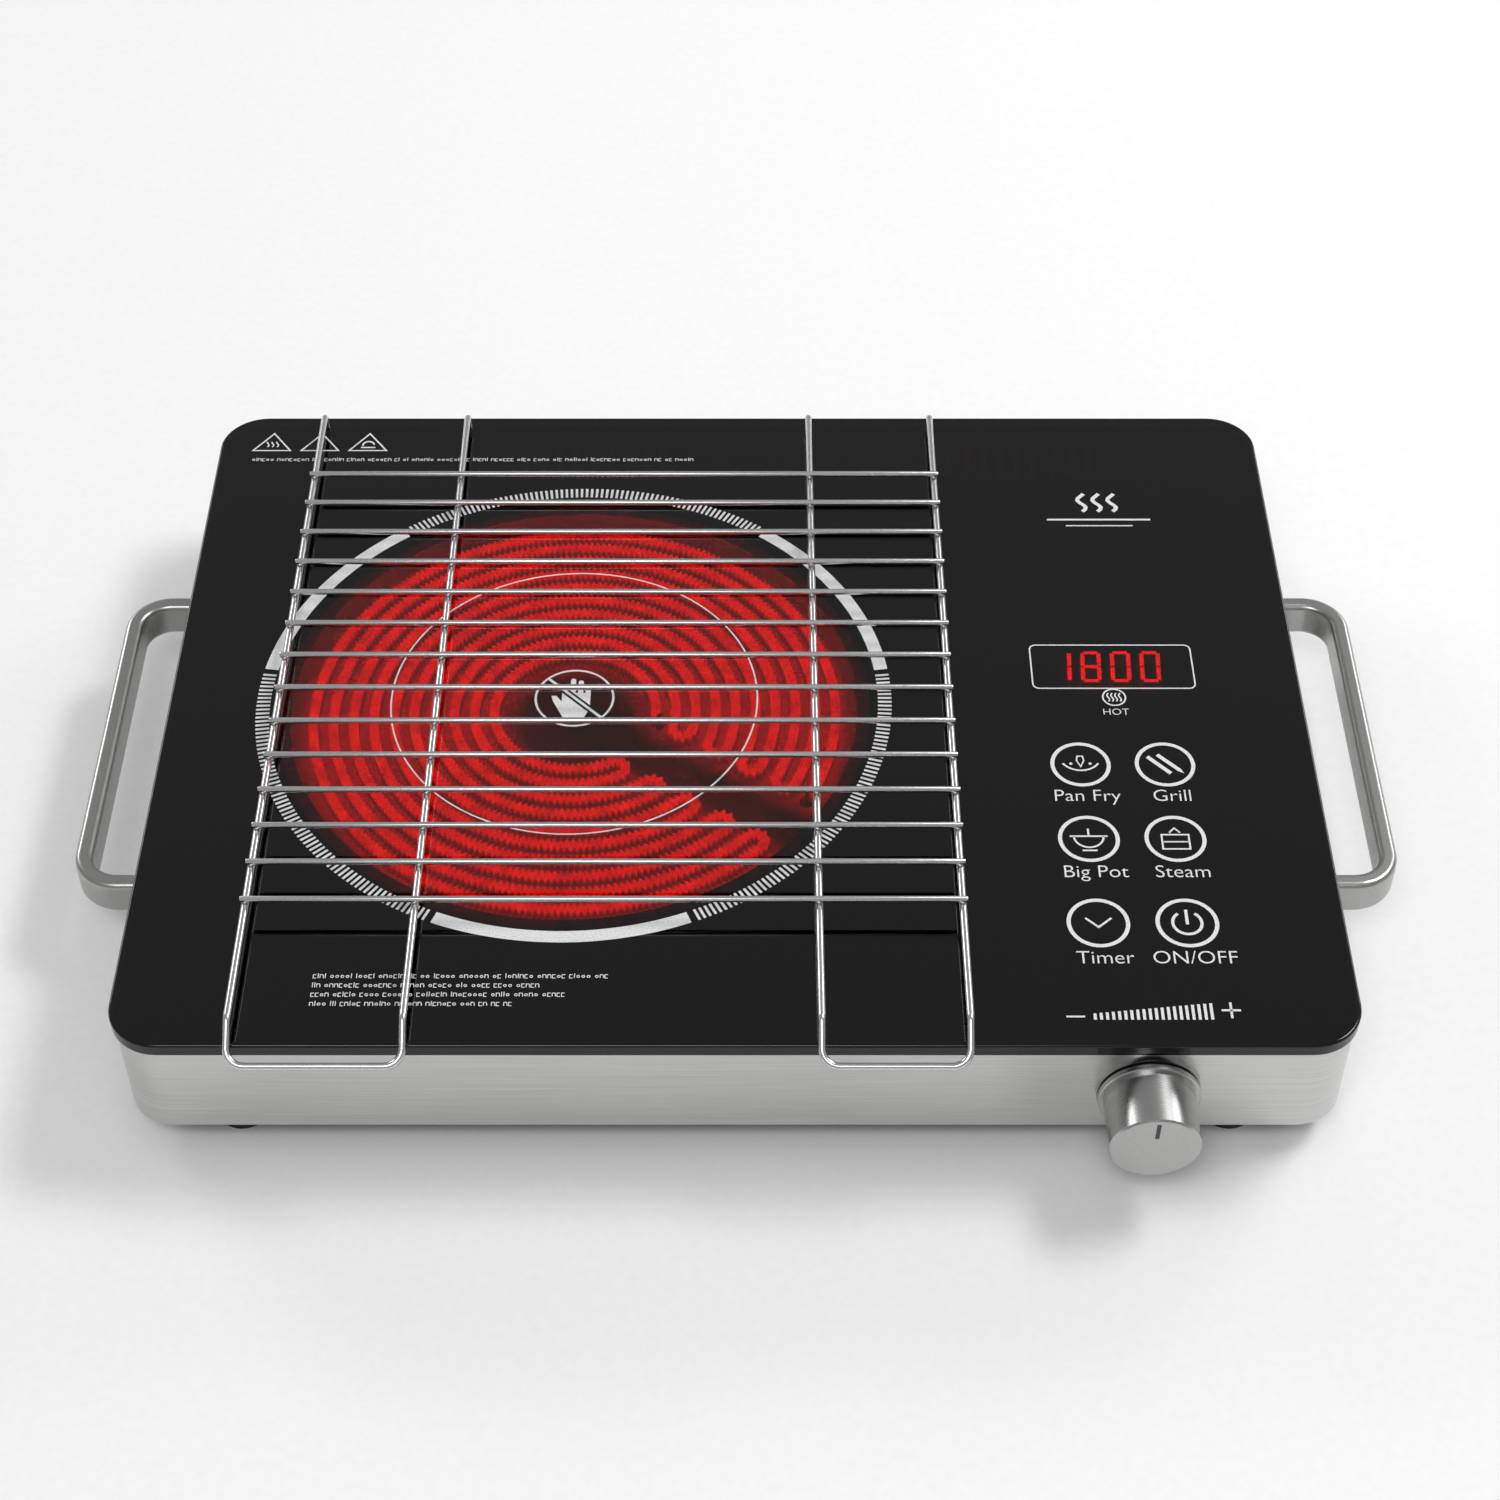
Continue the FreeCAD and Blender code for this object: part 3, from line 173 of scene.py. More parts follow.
@dataclass(frozen=True)
class BeltedMetal(Finish):
    """Metal with a one-way grain: belt-ground sheet, satin bar, drawn wire or turned stock.

    The grain is a long thin noise. It gives the eye soft streaks along the belt's way and a
    highlight that spreads across them.

    Attributes:
        dark: Colour in the scratches.
        light: Colour on the polished lands.
        rough: Lowest and highest roughness.
        streak: Length and spacing of the grain, in millimetres.
        way: Which way the grain runs.
        centre: The axis that turned metal was spun about, in metres.
        relief: Depth of the scratches, in millimetres.
    """

    dark: str = "bebebd"
    light: str = "d2d2d1"
    rough: Point = (0.3, 0.36)
    streak: Point = (45.0, 0.35)
    way: Brushing = Brushing.LEVEL
    centre: Triple = (0.0, 0.0, 0.0)
    relief: float = 0.0015

    def dress(self, tree: bpy.types.NodeTree) -> dict[str, Any]:
        """Lays the grain into colour, roughness and relief.

        Args:
            tree: The material's node tree.

        Returns:
            The shader's inputs.
        """
        noise = add_node(tree, "TexNoise", {"Vector": self.grain(tree), "Scale": 1.0,
                                            "Detail": 5.0, "Roughness": 0.65})
        value = noise.outputs["Fac"]
        smooth, coarse = self.rough
        return {
            "Base Color": add_node(tree, "ValToRGB", {"Fac": value},
                                   [(0.3, self.dark), (0.7, self.light)]),
            "Roughness": add_node(tree, "ValToRGB", {"Fac": value},
                                  [(0.3, coarse), (0.7, smooth)]),
            "Metallic": 1.0,
            "Normal": add_node(tree, "Bump", {"Height": value, "Distance": self.relief * MM,
                                              "Strength": 1.0})}

    def grain(self, tree: bpy.types.NodeTree) -> bpy.types.NodeSocket:
        """Stretches the pattern along the way that the belt or the tool ran.

        Args:
            tree: The material's node tree.

        Returns:
            The vector socket for the noise.
        """
        long, fine = self.streak
        if self.way is Brushing.LEVEL:
            return place_in(tree, grain=(long, long, fine))
        if self.way is Brushing.NONE:
            return place_in(tree, grain=(fine, fine, fine))
        # A lathe leaves rings about its axis: the pattern runs on the distance from it.
        local = place_in(tree, self.centre)
        flat = add_node(tree, "VectorMath", {0: local, 1: (1, 0, 1)}, operation="MULTIPLY")
        away = add_node(tree, "VectorMath", {0: flat}, operation="LENGTH").outputs["Value"]
        deep = add_node(tree, "SeparateXYZ", {0: local}).outputs["Y"]
        turned = add_node(tree, "Math", {0: away, 1: deep}, operation="ADD")
        rings = add_node(tree, "Math", {0: turned, 1: fine}, operation="DIVIDE")
        return add_node(tree, "CombineXYZ", {"X": rings}).outputs[0]


@dataclass(frozen=True)
class PointerKnobMetal(BeltedMetal):
    """Turned metal whose face carries one engraved line, filled with dark lacquer.

    The line is matt against the bright face, so the eye finds the knob's setting at once.

    Attributes:
        line: Start and end of the line, from the axis outwards, in millimetres.
        line_wide: The line's width, in millimetres.
        face_deep: How far behind the face the line still shows, in millimetres.
        lacquer: The filling's colour.
    """

    line: Point = (4.5, 11.0)
    line_wide: float = 1.2
    face_deep: float = 0.2
    lacquer: str = "26282a"

    def dress(self, tree: bpy.types.NodeTree) -> dict[str, Any]:
        """Lays the line over the turned metal.

        Args:
            tree: The material's node tree.

        Returns:
            The shader's inputs.
        """
        inputs = super().dress(tree)
        local = add_node(tree, "SeparateXYZ", {0: place_in(tree, self.centre)})
        inner, outer = self.line
        aside = add_node(tree, "Math", {0: local.outputs["X"]}, operation="ABSOLUTE")
        from_middle = add_node(tree, "Math", {0: local.outputs["Z"], 1: (inner + outer) / 2},
                               operation="SUBTRACT")
        along = add_node(tree, "Math", {0: from_middle}, operation="ABSOLUTE")
        mask = None
        for distance, limit in ((aside, self.line_wide / 2), (along, (outer - inner) / 2),
                                (local.outputs["Y"], self.face_deep)):
            inside = add_node(tree, "Math", {0: distance, 1: limit}, operation="LESS_THAN")
            mask = inside if mask is None else add_node(tree, "Math", {0: mask, 1: inside},
                                                        operation="MULTIPLY")
        filled = add_node(tree, "MixRGB", {0: mask, 1: inputs["Base Color"],
                                           2: srgb(self.lacquer)})
        bare = add_node(tree, "Math", {0: 1.0, 1: mask}, operation="SUBTRACT")
        return inputs | {"Base Color": filled, "Metallic": bare}


@dataclass(frozen=True)
class GlassCeramic(Finish):
    """Dyed lithium glass-ceramic, float-flat and fire-polished.

    It lets red and infrared through and little else, so the hot ribbon shows red and the
    cold parts under it stay black. A faint smear of handling dulls its gloss here and there.

    Attributes:
        dye: The colour that passes the whole plate.
        index: The glass's index of refraction.
    """

    dye: str = "0f0303"
    index: float = 1.45

    def dress(self, tree: bpy.types.NodeTree) -> dict[str, Any]:
        """Sets the dyed glass and its handling marks.

        Args:
            tree: The material's node tree.

        Returns:
            The shader's inputs.
        """
        smear = add_node(tree, "TexNoise", {"Vector": place_in(tree, grain=(70, 45, 45)),
                                            "Scale": 1.0, "Detail": 3.0})
        dulled = add_node(tree, "ValToRGB", {"Fac": smear.outputs["Fac"]},
                          [(0.55, 0.0), (0.85, 0.02)])
        return {"Base Color": srgb(self.dye), "Transmission Weight": 1.0, "IOR": self.index,
                "Roughness": dulled}


@dataclass(frozen=True)
class Moulded(Finish):
    """A moulded or cast body: rubber, plastic, ceramic, resin or a baked coating.

    A cell-sized noise varies the colour a little and gives the skin its texture.

    Attributes:
        colour: The body colour.
        vary: The second colour of the mottle.
        rough: Roughness.
        grain: Size of the skin texture, in millimetres.
        relief: Depth of the skin texture, in millimetres.
        coat: Weight of a clear gloss layer.
    """

    colour: str = "202020"
    vary: str = "2a2a2a"
    rough: float = 0.5
    grain: float = 0.6
    relief: float = 0.02
    coat: float = 0.0

    def dress(self, tree: bpy.types.NodeTree) -> dict[str, Any]:
        """Sets the body colour, its mottle and its skin.

        Args:
            tree: The material's node tree.

        Returns:
            The shader's inputs.
        """
        cells = (self.grain,) * 3
        noise = add_node(tree, "TexNoise", {"Vector": place_in(tree, grain=cells), "Scale": 1.0,
                                            "Detail": 4.0})
        value = noise.outputs["Fac"]
        mottle = add_node(tree, "ValToRGB", {"Fac": value},
                          [(0.3, self.colour), (0.7, self.vary)])
        skin = add_node(tree, "Bump", {"Height": value, "Distance": self.relief * MM,
                                       "Strength": 0.6})
        return {"Base Color": mottle, "Roughness": self.rough, "Coat Weight": self.coat,
                "Normal": skin}


@dataclass(frozen=True)
class PrintedEnamel(Finish):
    """Ceramic ink, screen-printed and fired into the glass: dense, pale and slightly matt.

    The mesh of the screen leaves a faint even speckle in the ink's cover.

    Attributes:
        ink: The ink's colour where it lies thick.
        thin: The ink's colour where it lies thin.
        mesh: Size of the speckle, in millimetres, coarser than a screen's so that it shows.
    """

    ink: str = "e6e6e6"
    thin: str = "c9c9c9"
    mesh: float = 0.5

    def dress(self, tree: bpy.types.NodeTree) -> dict[str, Any]:
        """Sets the ink and its screen speckle.

        Args:
            tree: The material's node tree.

        Returns:
            The shader's inputs.
        """
        cells = (self.mesh,) * 3
        speckle = add_node(tree, "TexNoise", {"Vector": place_in(tree, grain=cells),
                                              "Scale": 1.0, "Detail": 2.0})
        cover = add_node(tree, "ValToRGB", {"Fac": speckle.outputs["Fac"]},
                         [(0.3, self.thin), (0.6, self.ink)])
        return {"Base Color": cover, "Roughness": 0.45}


@dataclass(frozen=True)
class HotAlloy(Finish):
    """Iron-chromium-aluminium ribbon at red heat, rolled, corrugated and oxidised.

    It glows a strong red that wanders a little along the ribbon, over a dark grey oxide. Its
    foot stands in the board's groove and stays cooler, so each turn reads as a bright line
    with a dimmer gap behind it.

    Attributes:
        foot: Height of the ribbon's lower edge, in metres.
        tall: Height of the ribbon, in millimetres.
        strength: How bright the glow is.
    """

    foot: float = 0.037
    tall: float = 5.0
    strength: float = 160.0

    def dress(self, tree: bpy.types.NodeTree) -> dict[str, Any]:
        """Sets the oxide and its glow.

        Args:
            tree: The material's node tree.

        Returns:
            The shader's inputs.
        """
        wander = add_node(tree, "TexNoise", {"Vector": place_in(tree, grain=(6, 6, 6)),
                                             "Scale": 1.0, "Detail": 5.0, "Roughness": 0.75})
        glow = add_node(tree, "ValToRGB", {"Fac": wander.outputs["Fac"]},
                        [(0.3, "a81210"), (0.52, "e8261b"), (0.72, "ff4a2c")])
        over = add_node(tree, "SeparateXYZ", {0: place_in(tree, (0, 0, self.foot))})
        share = add_node(tree, "Math", {0: over.outputs["Z"], 1: self.tall}, operation="DIVIDE")
        glow_level = add_node(tree, "ValToRGB", {"Fac": share}, [(0.0, 0.08), (0.4, 0.25), (0.75, 1.0)])
        power = add_node(tree, "Math", {0: glow_level, 1: self.strength}, operation="MULTIPLY")
        return {"Base Color": srgb("3a3330"), "Roughness": 0.6, "Emission Color": glow,
                "Emission Strength": power}


@dataclass(frozen=True)
class PaintedGlowBoard(Finish):
    """Pressed microporous silica board, matt and fibrous, with painted light from the ribbon on
    it.

    Its painted glow stands in for the ribbon's light and is brightest between the turns. The
    middle, the lane that the turns leave free and the rim get painted shade.

    Attributes:
        centre: The heater's centre, in metres.
        reach: Radius that the turns cover, in millimetres.
        shaded_middle: Radius of the middle that gets painted shade, in millimetres.
        rim: Radius at which the painted glow has died away, in millimetres.
        lane_angle: Direction of the free lane, in degrees.
        lane_half: Half the lane's width, in millimetres.
        strength: How bright the painted glow is.
    """

    centre: Triple = (0.0, 0.0, 0.0)
    reach: float = 83.0
    shaded_middle: float = 22.0
    rim: float = 95.0
    lane_angle: float = -35.0
    lane_half: float = 9.0
    strength: float = 70.0

    def dress(self, tree: bpy.types.NodeTree) -> dict[str, Any]:
        """Sets the board and the painted glow on it.

        Args:
            tree: The material's node tree.

        Returns:
            The shader's inputs.
        """
        fibres = add_node(tree, "TexNoise", {"Vector": place_in(tree, grain=(2.5, 2.5, 2.5)),
                                             "Scale": 1.0, "Detail": 6.0, "Roughness": 0.7})
        value = fibres.outputs["Fac"]
        patch = add_node(tree, "ValToRGB", {"Fac": value}, [(0.3, 0.45), (0.7, 1.0)])
        # The ribbon's light on the board is painted into its emission: a red painted glow,
        # mottled by the fibres.
        glow_level = add_node(tree, "Math", {0: self.glow_level(tree), 1: patch}, operation="MULTIPLY")
        glow = add_node(tree, "ValToRGB", {"Fac": glow_level},
                        [(0.0, "000000"), (0.25, "6a0a0c"), (1.0, "e0161a")])
        board = add_node(tree, "ValToRGB", {"Fac": value}, [(0.3, "a9a198"), (0.7, "cfc8bd")])
        weave = add_node(tree, "Bump", {"Height": value, "Distance": 0.15 * MM,
                                        "Strength": 0.7})
        return {"Base Color": board, "Roughness": 0.95, "Emission Color": glow,
                "Emission Strength": self.strength, "Normal": weave}

    def glow_level(self, tree: bpy.types.NodeTree) -> bpy.types.Node:
        """Spreads the painted glow over the turns; the middle, lane and rim get painted shade.

        Args:
            tree: The material's node tree.

        Returns:
            The node that gives the painted glow, from 0 to 1.
        """
        local = place_in(tree, self.centre, -self.lane_angle)
        parts = add_node(tree, "SeparateXYZ", {0: local})
        flat = add_node(tree, "VectorMath", {0: local, 1: (1, 1, 0)}, operation="MULTIPLY")
        away = add_node(tree, "VectorMath", {0: flat}, operation="LENGTH").outputs["Value"]
        radial = add_node(tree, "Math", {0: away, 1: self.rim}, operation="DIVIDE")
        # Painted shade in the middle and towards the rim, painted glow over the turns.
        turns = add_node(tree, "ValToRGB", {"Fac": radial}, [
            (0.0, 0.03), (self.shaded_middle * 0.75 / self.rim, 0.05),
            (self.shaded_middle * 1.15 / self.rim, 1.0), (self.reach / self.rim, 1.0),
            (self.reach * 1.035 / self.rim, 0.42), (0.97, 0.12)])
        # Painted shade along the free lane, only on the side where the lane runs out.
        side = add_node(tree, "Math", {0: parts.outputs["Y"]}, operation="ABSOLUTE")
        beside = add_node(tree, "Math", {0: side, 1: self.lane_half * 1.6}, operation="DIVIDE")
        off_lane = add_node(tree, "ValToRGB", {"Fac": beside}, [(0.35, 0.1), (0.8, 1.0)])
        behind = add_node(tree, "Math", {0: parts.outputs["X"], 1: 0.0}, operation="LESS_THAN")
        open_way = add_node(tree, "Math", {0: off_lane, 1: behind}, operation="MAXIMUM")
        return add_node(tree, "Math", {0: turns, 1: open_way}, operation="MULTIPLY")


@dataclass(frozen=True)
class LitSegment(Finish):
    """A light-emitting segment behind a diffusing resin: even red, softer at its grain.

    Attributes:
        colour: The colour of the light.
        strength: How bright it is.
    """

    colour: str = "ff2a1e"
    strength: float = 184.0

    def dress(self, tree: bpy.types.NodeTree) -> dict[str, Any]:
        """Sets the resin and its light.

        Args:
            tree: The material's node tree.

        Returns:
            The shader's inputs.
        """
        grain = add_node(tree, "TexNoise", {"Vector": place_in(tree, grain=(0.8,) * 3),
                                            "Scale": 1.0, "Detail": 2.0})
        light = add_node(tree, "ValToRGB", {"Fac": grain.outputs["Fac"]},
                         [(0.2, "e81c14"), (0.6, self.colour)])
        return {"Base Color": srgb("40100c"), "Roughness": 0.4, "Emission Color": light,
                "Emission Strength": self.strength}


@dataclass(frozen=True)
class CircuitBoard(Finish):
    """Glass-fibre epoxy board with green solder mask: a satin lacquer over copper tracks."""

    def dress(self, tree: bpy.types.NodeTree) -> dict[str, Any]:
        """Sets the mask and the tracks that show through it.

        Args:
            tree: The material's node tree.

        Returns:
            The shader's inputs.
        """
        tracks = add_node(tree, "TexBrick", {
            "Vector": place_in(tree, grain=(9, 9, 9)), "Scale": 1.0, "Mortar Size": 0.06,
            "Color1": srgb("0f4a27"), "Color2": srgb("125530"), "Mortar": srgb("2f7a4a")})
        copper = add_node(tree, "Bump", {"Height": tracks.outputs["Fac"],
                                         "Distance": 0.03 * MM, "Strength": 1.0})
        return {"Base Color": tracks, "Roughness": 0.35, "Normal": copper}


@dataclass(frozen=True)
class ClearQuartz(Finish):
    """Drawn quartz or glass tube: clear, with faint draw lines along it."""

    def dress(self, tree: bpy.types.NodeTree) -> dict[str, Any]:
        """Sets the clear glass and its draw lines.

        Args:
            tree: The material's node tree.

        Returns:
            The shader's inputs.
        """
        lines = add_node(tree, "TexNoise", {"Vector": place_in(tree, grain=(0.6, 0.6, 8)),
                                            "Scale": 1.0})
        drawn = add_node(tree, "ValToRGB", {"Fac": lines.outputs["Fac"]},
                         [(0.3, 0.04), (0.7, 0.15)])
        return {"Base Color": srgb("e8e6e2"), "Transmission Weight": 0.9, "IOR": 1.46,
                "Roughness": drawn}


@dataclass(frozen=True)
class StudioPaper(Finish):
    """A matt white studio sweep, with the faint tooth of heavy paper."""

    def dress(self, tree: bpy.types.NodeTree) -> dict[str, Any]:
        """Sets the paper.

        Args:
            tree: The material's node tree.

        Returns:
            The shader's inputs.
        """
        tooth = add_node(tree, "TexNoise", {"Vector": place_in(tree, grain=(3, 3, 3)),
                                            "Scale": 1.0})
        paper = add_node(tree, "ValToRGB", {"Fac": tooth.outputs["Fac"]},
                         [(0.3, "f4f4f4"), (0.7, "f7f7f7")])
        return {"Base Color": paper, "Roughness": 0.9}


# Ceramic ink, printed through a screen and fired: pale, dense lines that don't shine.
ENAMEL = PrintedEnamel("fired white screen-print enamel")
# Glass-ceramic, floated and polished: a black mirror that only the red heat comes through.
PLATE = GlassCeramic("dyed glass-ceramic plate")
# Stainless sheet, ground level with a belt before it was bent: long level streaks.
CASE_STEEL = BeltedMetal("belt-ground stainless sheet")
# Flat bar, tumbled to a silky satin: fine short grain and a soft wide highlight.
BAR_STEEL = BeltedMetal("satin stainless bar", "9c9c9a", "b4b4b2", (0.26, 0.34), (8.0, 0.4),
                        Brushing.NONE, relief=0.002)
# Drawn wire, electropolished: bright, with a narrow highlight along each run.
WIRE_STEEL = BeltedMetal("electropolished stainless wire", "c2c2c2", "dadada", (0.18, 0.26),
                         (14.0, 0.8), Brushing.NONE, relief=0.002)
# Cold-headed screws with a thin zinc plate: cool grey, a little cloudy.
SCREW_STEEL = BeltedMetal("zinc-plated screw steel", "8d9092", "b5b8ba", (0.3, 0.4), (3.0, 0.5),
                          Brushing.NONE, relief=0.006)
# Hard-drawn spring wire, left bare: darker and warmer than the plated screws.
SPRING_STEEL = BeltedMetal("drawn spring steel", "85837f", "b0aea9", (0.25, 0.38), (4.0, 0.4),
                           Brushing.NONE, relief=0.004)
# Brass, turned from hexagon bar: yellow with a fine tool grain.
NUT_BRASS = BeltedMetal("turned brass", "a8884a", "d0b070", (0.25, 0.35), (4.0, 0.4),
                        Brushing.NONE, relief=0.004)


@dataclass
class MeshKit:
    """Collects vertices and faces of one piece and makes its object.

    Attributes:
        name: The piece's name.
        points: Vertices, in metres.
        faces: Vertex numbers of each face.
    """

    name: str
    points: list[Vector] = field(default_factory=list)
    faces: list[tuple[int, ...]] = field(default_factory=list)

    def ring_strip(self, rings: Sequence[Sequence[Vector]], around: bool = False) -> None:
        """Joins rings of equal size with quads and caps the first and last ring.

        Args:
            rings: Closed outlines, one after another.
            around: True where the last ring meets the first, so there are no caps.
        """
        start = len(self.points)
        size = len(rings[0])
        for outline in rings:
            self.points.extend(outline)
        steps = len(rings) if around else len(rings) - 1
        for i in range(steps):
            low = start + i * size
            high = start + ((i + 1) % len(rings)) * size
            for j in range(size):
                k = (j + 1) % size
                self.faces.append((low + j, low + k, high + k, high + j))
        if not around:
            last = start + (len(rings) - 1) * size
            self.faces.append(tuple(reversed(range(start, start + size))))
            self.faces.append(tuple(range(last, last + size)))

    def make(self, finish: Finish, body: str, smooth_angle: float = 0.0) -> bpy.types.Object:
        """Makes the object, dresses it and lets it ride on a body.

        Args:
            finish: The finish of the whole piece.
            body: The CAD body that the piece moves with.
            smooth_angle: Faces that meet under this angle shade as one, in degrees.

        Returns:
            The new object.
        """
        mesh = bpy.data.meshes.new(self.name)
        mesh.from_pydata(self.points, [], self.faces)
        work = bmesh.new()
        work.from_mesh(mesh)
        bmesh.ops.recalc_face_normals(work, faces=work.faces)
        work.to_mesh(mesh)
        work.free()
        mesh.materials.append(finish.material())
        piece = bpy.data.objects.new(self.name, mesh)
        bpy.context.scene.collection.objects.link(piece)
        if smooth_angle:
            mesh.shade_smooth()
            mesh.set_sharp_from_angle(angle=math.radians(smooth_angle))
        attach(piece, body)
        LOG.info("%s: %d faces on %s", self.name, len(mesh.polygons), body)
        return piece


def rounded_route(corners: Sequence[Vector], bends: Sequence[float],
                  steps: int = 10) -> list[Vector]:
    """Rounds the inner corners of a run of straight lengths with tangent arcs.

    Args:
        corners: The corner points, ends included.
        bends: Bend radius at each inner corner.
        steps: Points along each arc.

    Returns:
        Points along the route.
    """
    route = [corners[0]]
    for before, corner, after, bend in zip(corners, corners[1:], corners[2:], bends):
        inward, outward = (before - corner).normalized(), (after - corner).normalized()
        half = inward.angle(outward) / 2
        centre = corner + (inward + outward).normalized() * (bend / math.sin(half))
        first = corner + inward * (bend / math.tan(half)) - centre
        last = corner + outward * (bend / math.tan(half)) - centre
        for i in range(steps + 1):
            route.append(centre + first.slerp(last, i / steps).normalized() * bend)
    route.append(corners[-1])
    return route


def tube(kit: MeshKit, route: Sequence[Vector], radius: float, sides: int = 20,
         dome: float = 0.35) -> None:
    """Adds a round wire along a route, with softly domed ends.

    Args:
        kit: The piece that gets the wire.
        route: Points along the wire's middle.
        radius: The wire's radius.
        sides: Flats round the wire.
        dome: How far the ends' edges are rounded, as a part of the radius.
    """
    first_way = (route[1] - route[0]).normalized()
    across = first_way.orthogonal().normalized()
    rings = []
    for i, spot in enumerate(route):
        back = route[max(i - 1, 0)]
        ahead = route[min(i + 1, len(route) - 1)]
        way = (ahead - back).normalized()
        across = (across - way * across.dot(way)).normalized()
        up = way.cross(across)
        end = dome * radius
        shrink = [(0.0, 1.0)]
        if i == 0:
            shrink = [(0.0, 1 - dome), (0.3 * end, 1 - 0.3 * dome), (end, 1.0)]
        elif i == len(route) - 1:
            shrink = [(-end, 1.0), (-0.3 * end, 1 - 0.3 * dome), (0.0, 1 - dome)]
        for shift, scale in shrink:
            rings.append([spot + way * shift
                          + (across * math.cos(a) + up * math.sin(a)) * (radius * scale)
                          for a in (2 * math.pi * k / sides for k in range(sides))])
    kit.ring_strip(rings)


def arc(radius: float, start: float, end: float, centre: Point = (0, 0),
        step: float = 3.0) -> list[Point]:
    """Gives points along a circular arc.

    Args:
        radius: The arc's radius.
        start: First angle, in degrees.
        end: Last angle, in degrees.
        centre: The arc's centre.
        step: Largest angle between points, in degrees.

    Returns:
        The points.
    """
    count = max(2, math.ceil(abs(end - start) / step))
    angles = [math.radians(start + (end - start) * i / count) for i in range(count + 1)]
    return [(centre[0] + radius * math.cos(a), centre[1] + radius * math.sin(a))
            for a in angles]


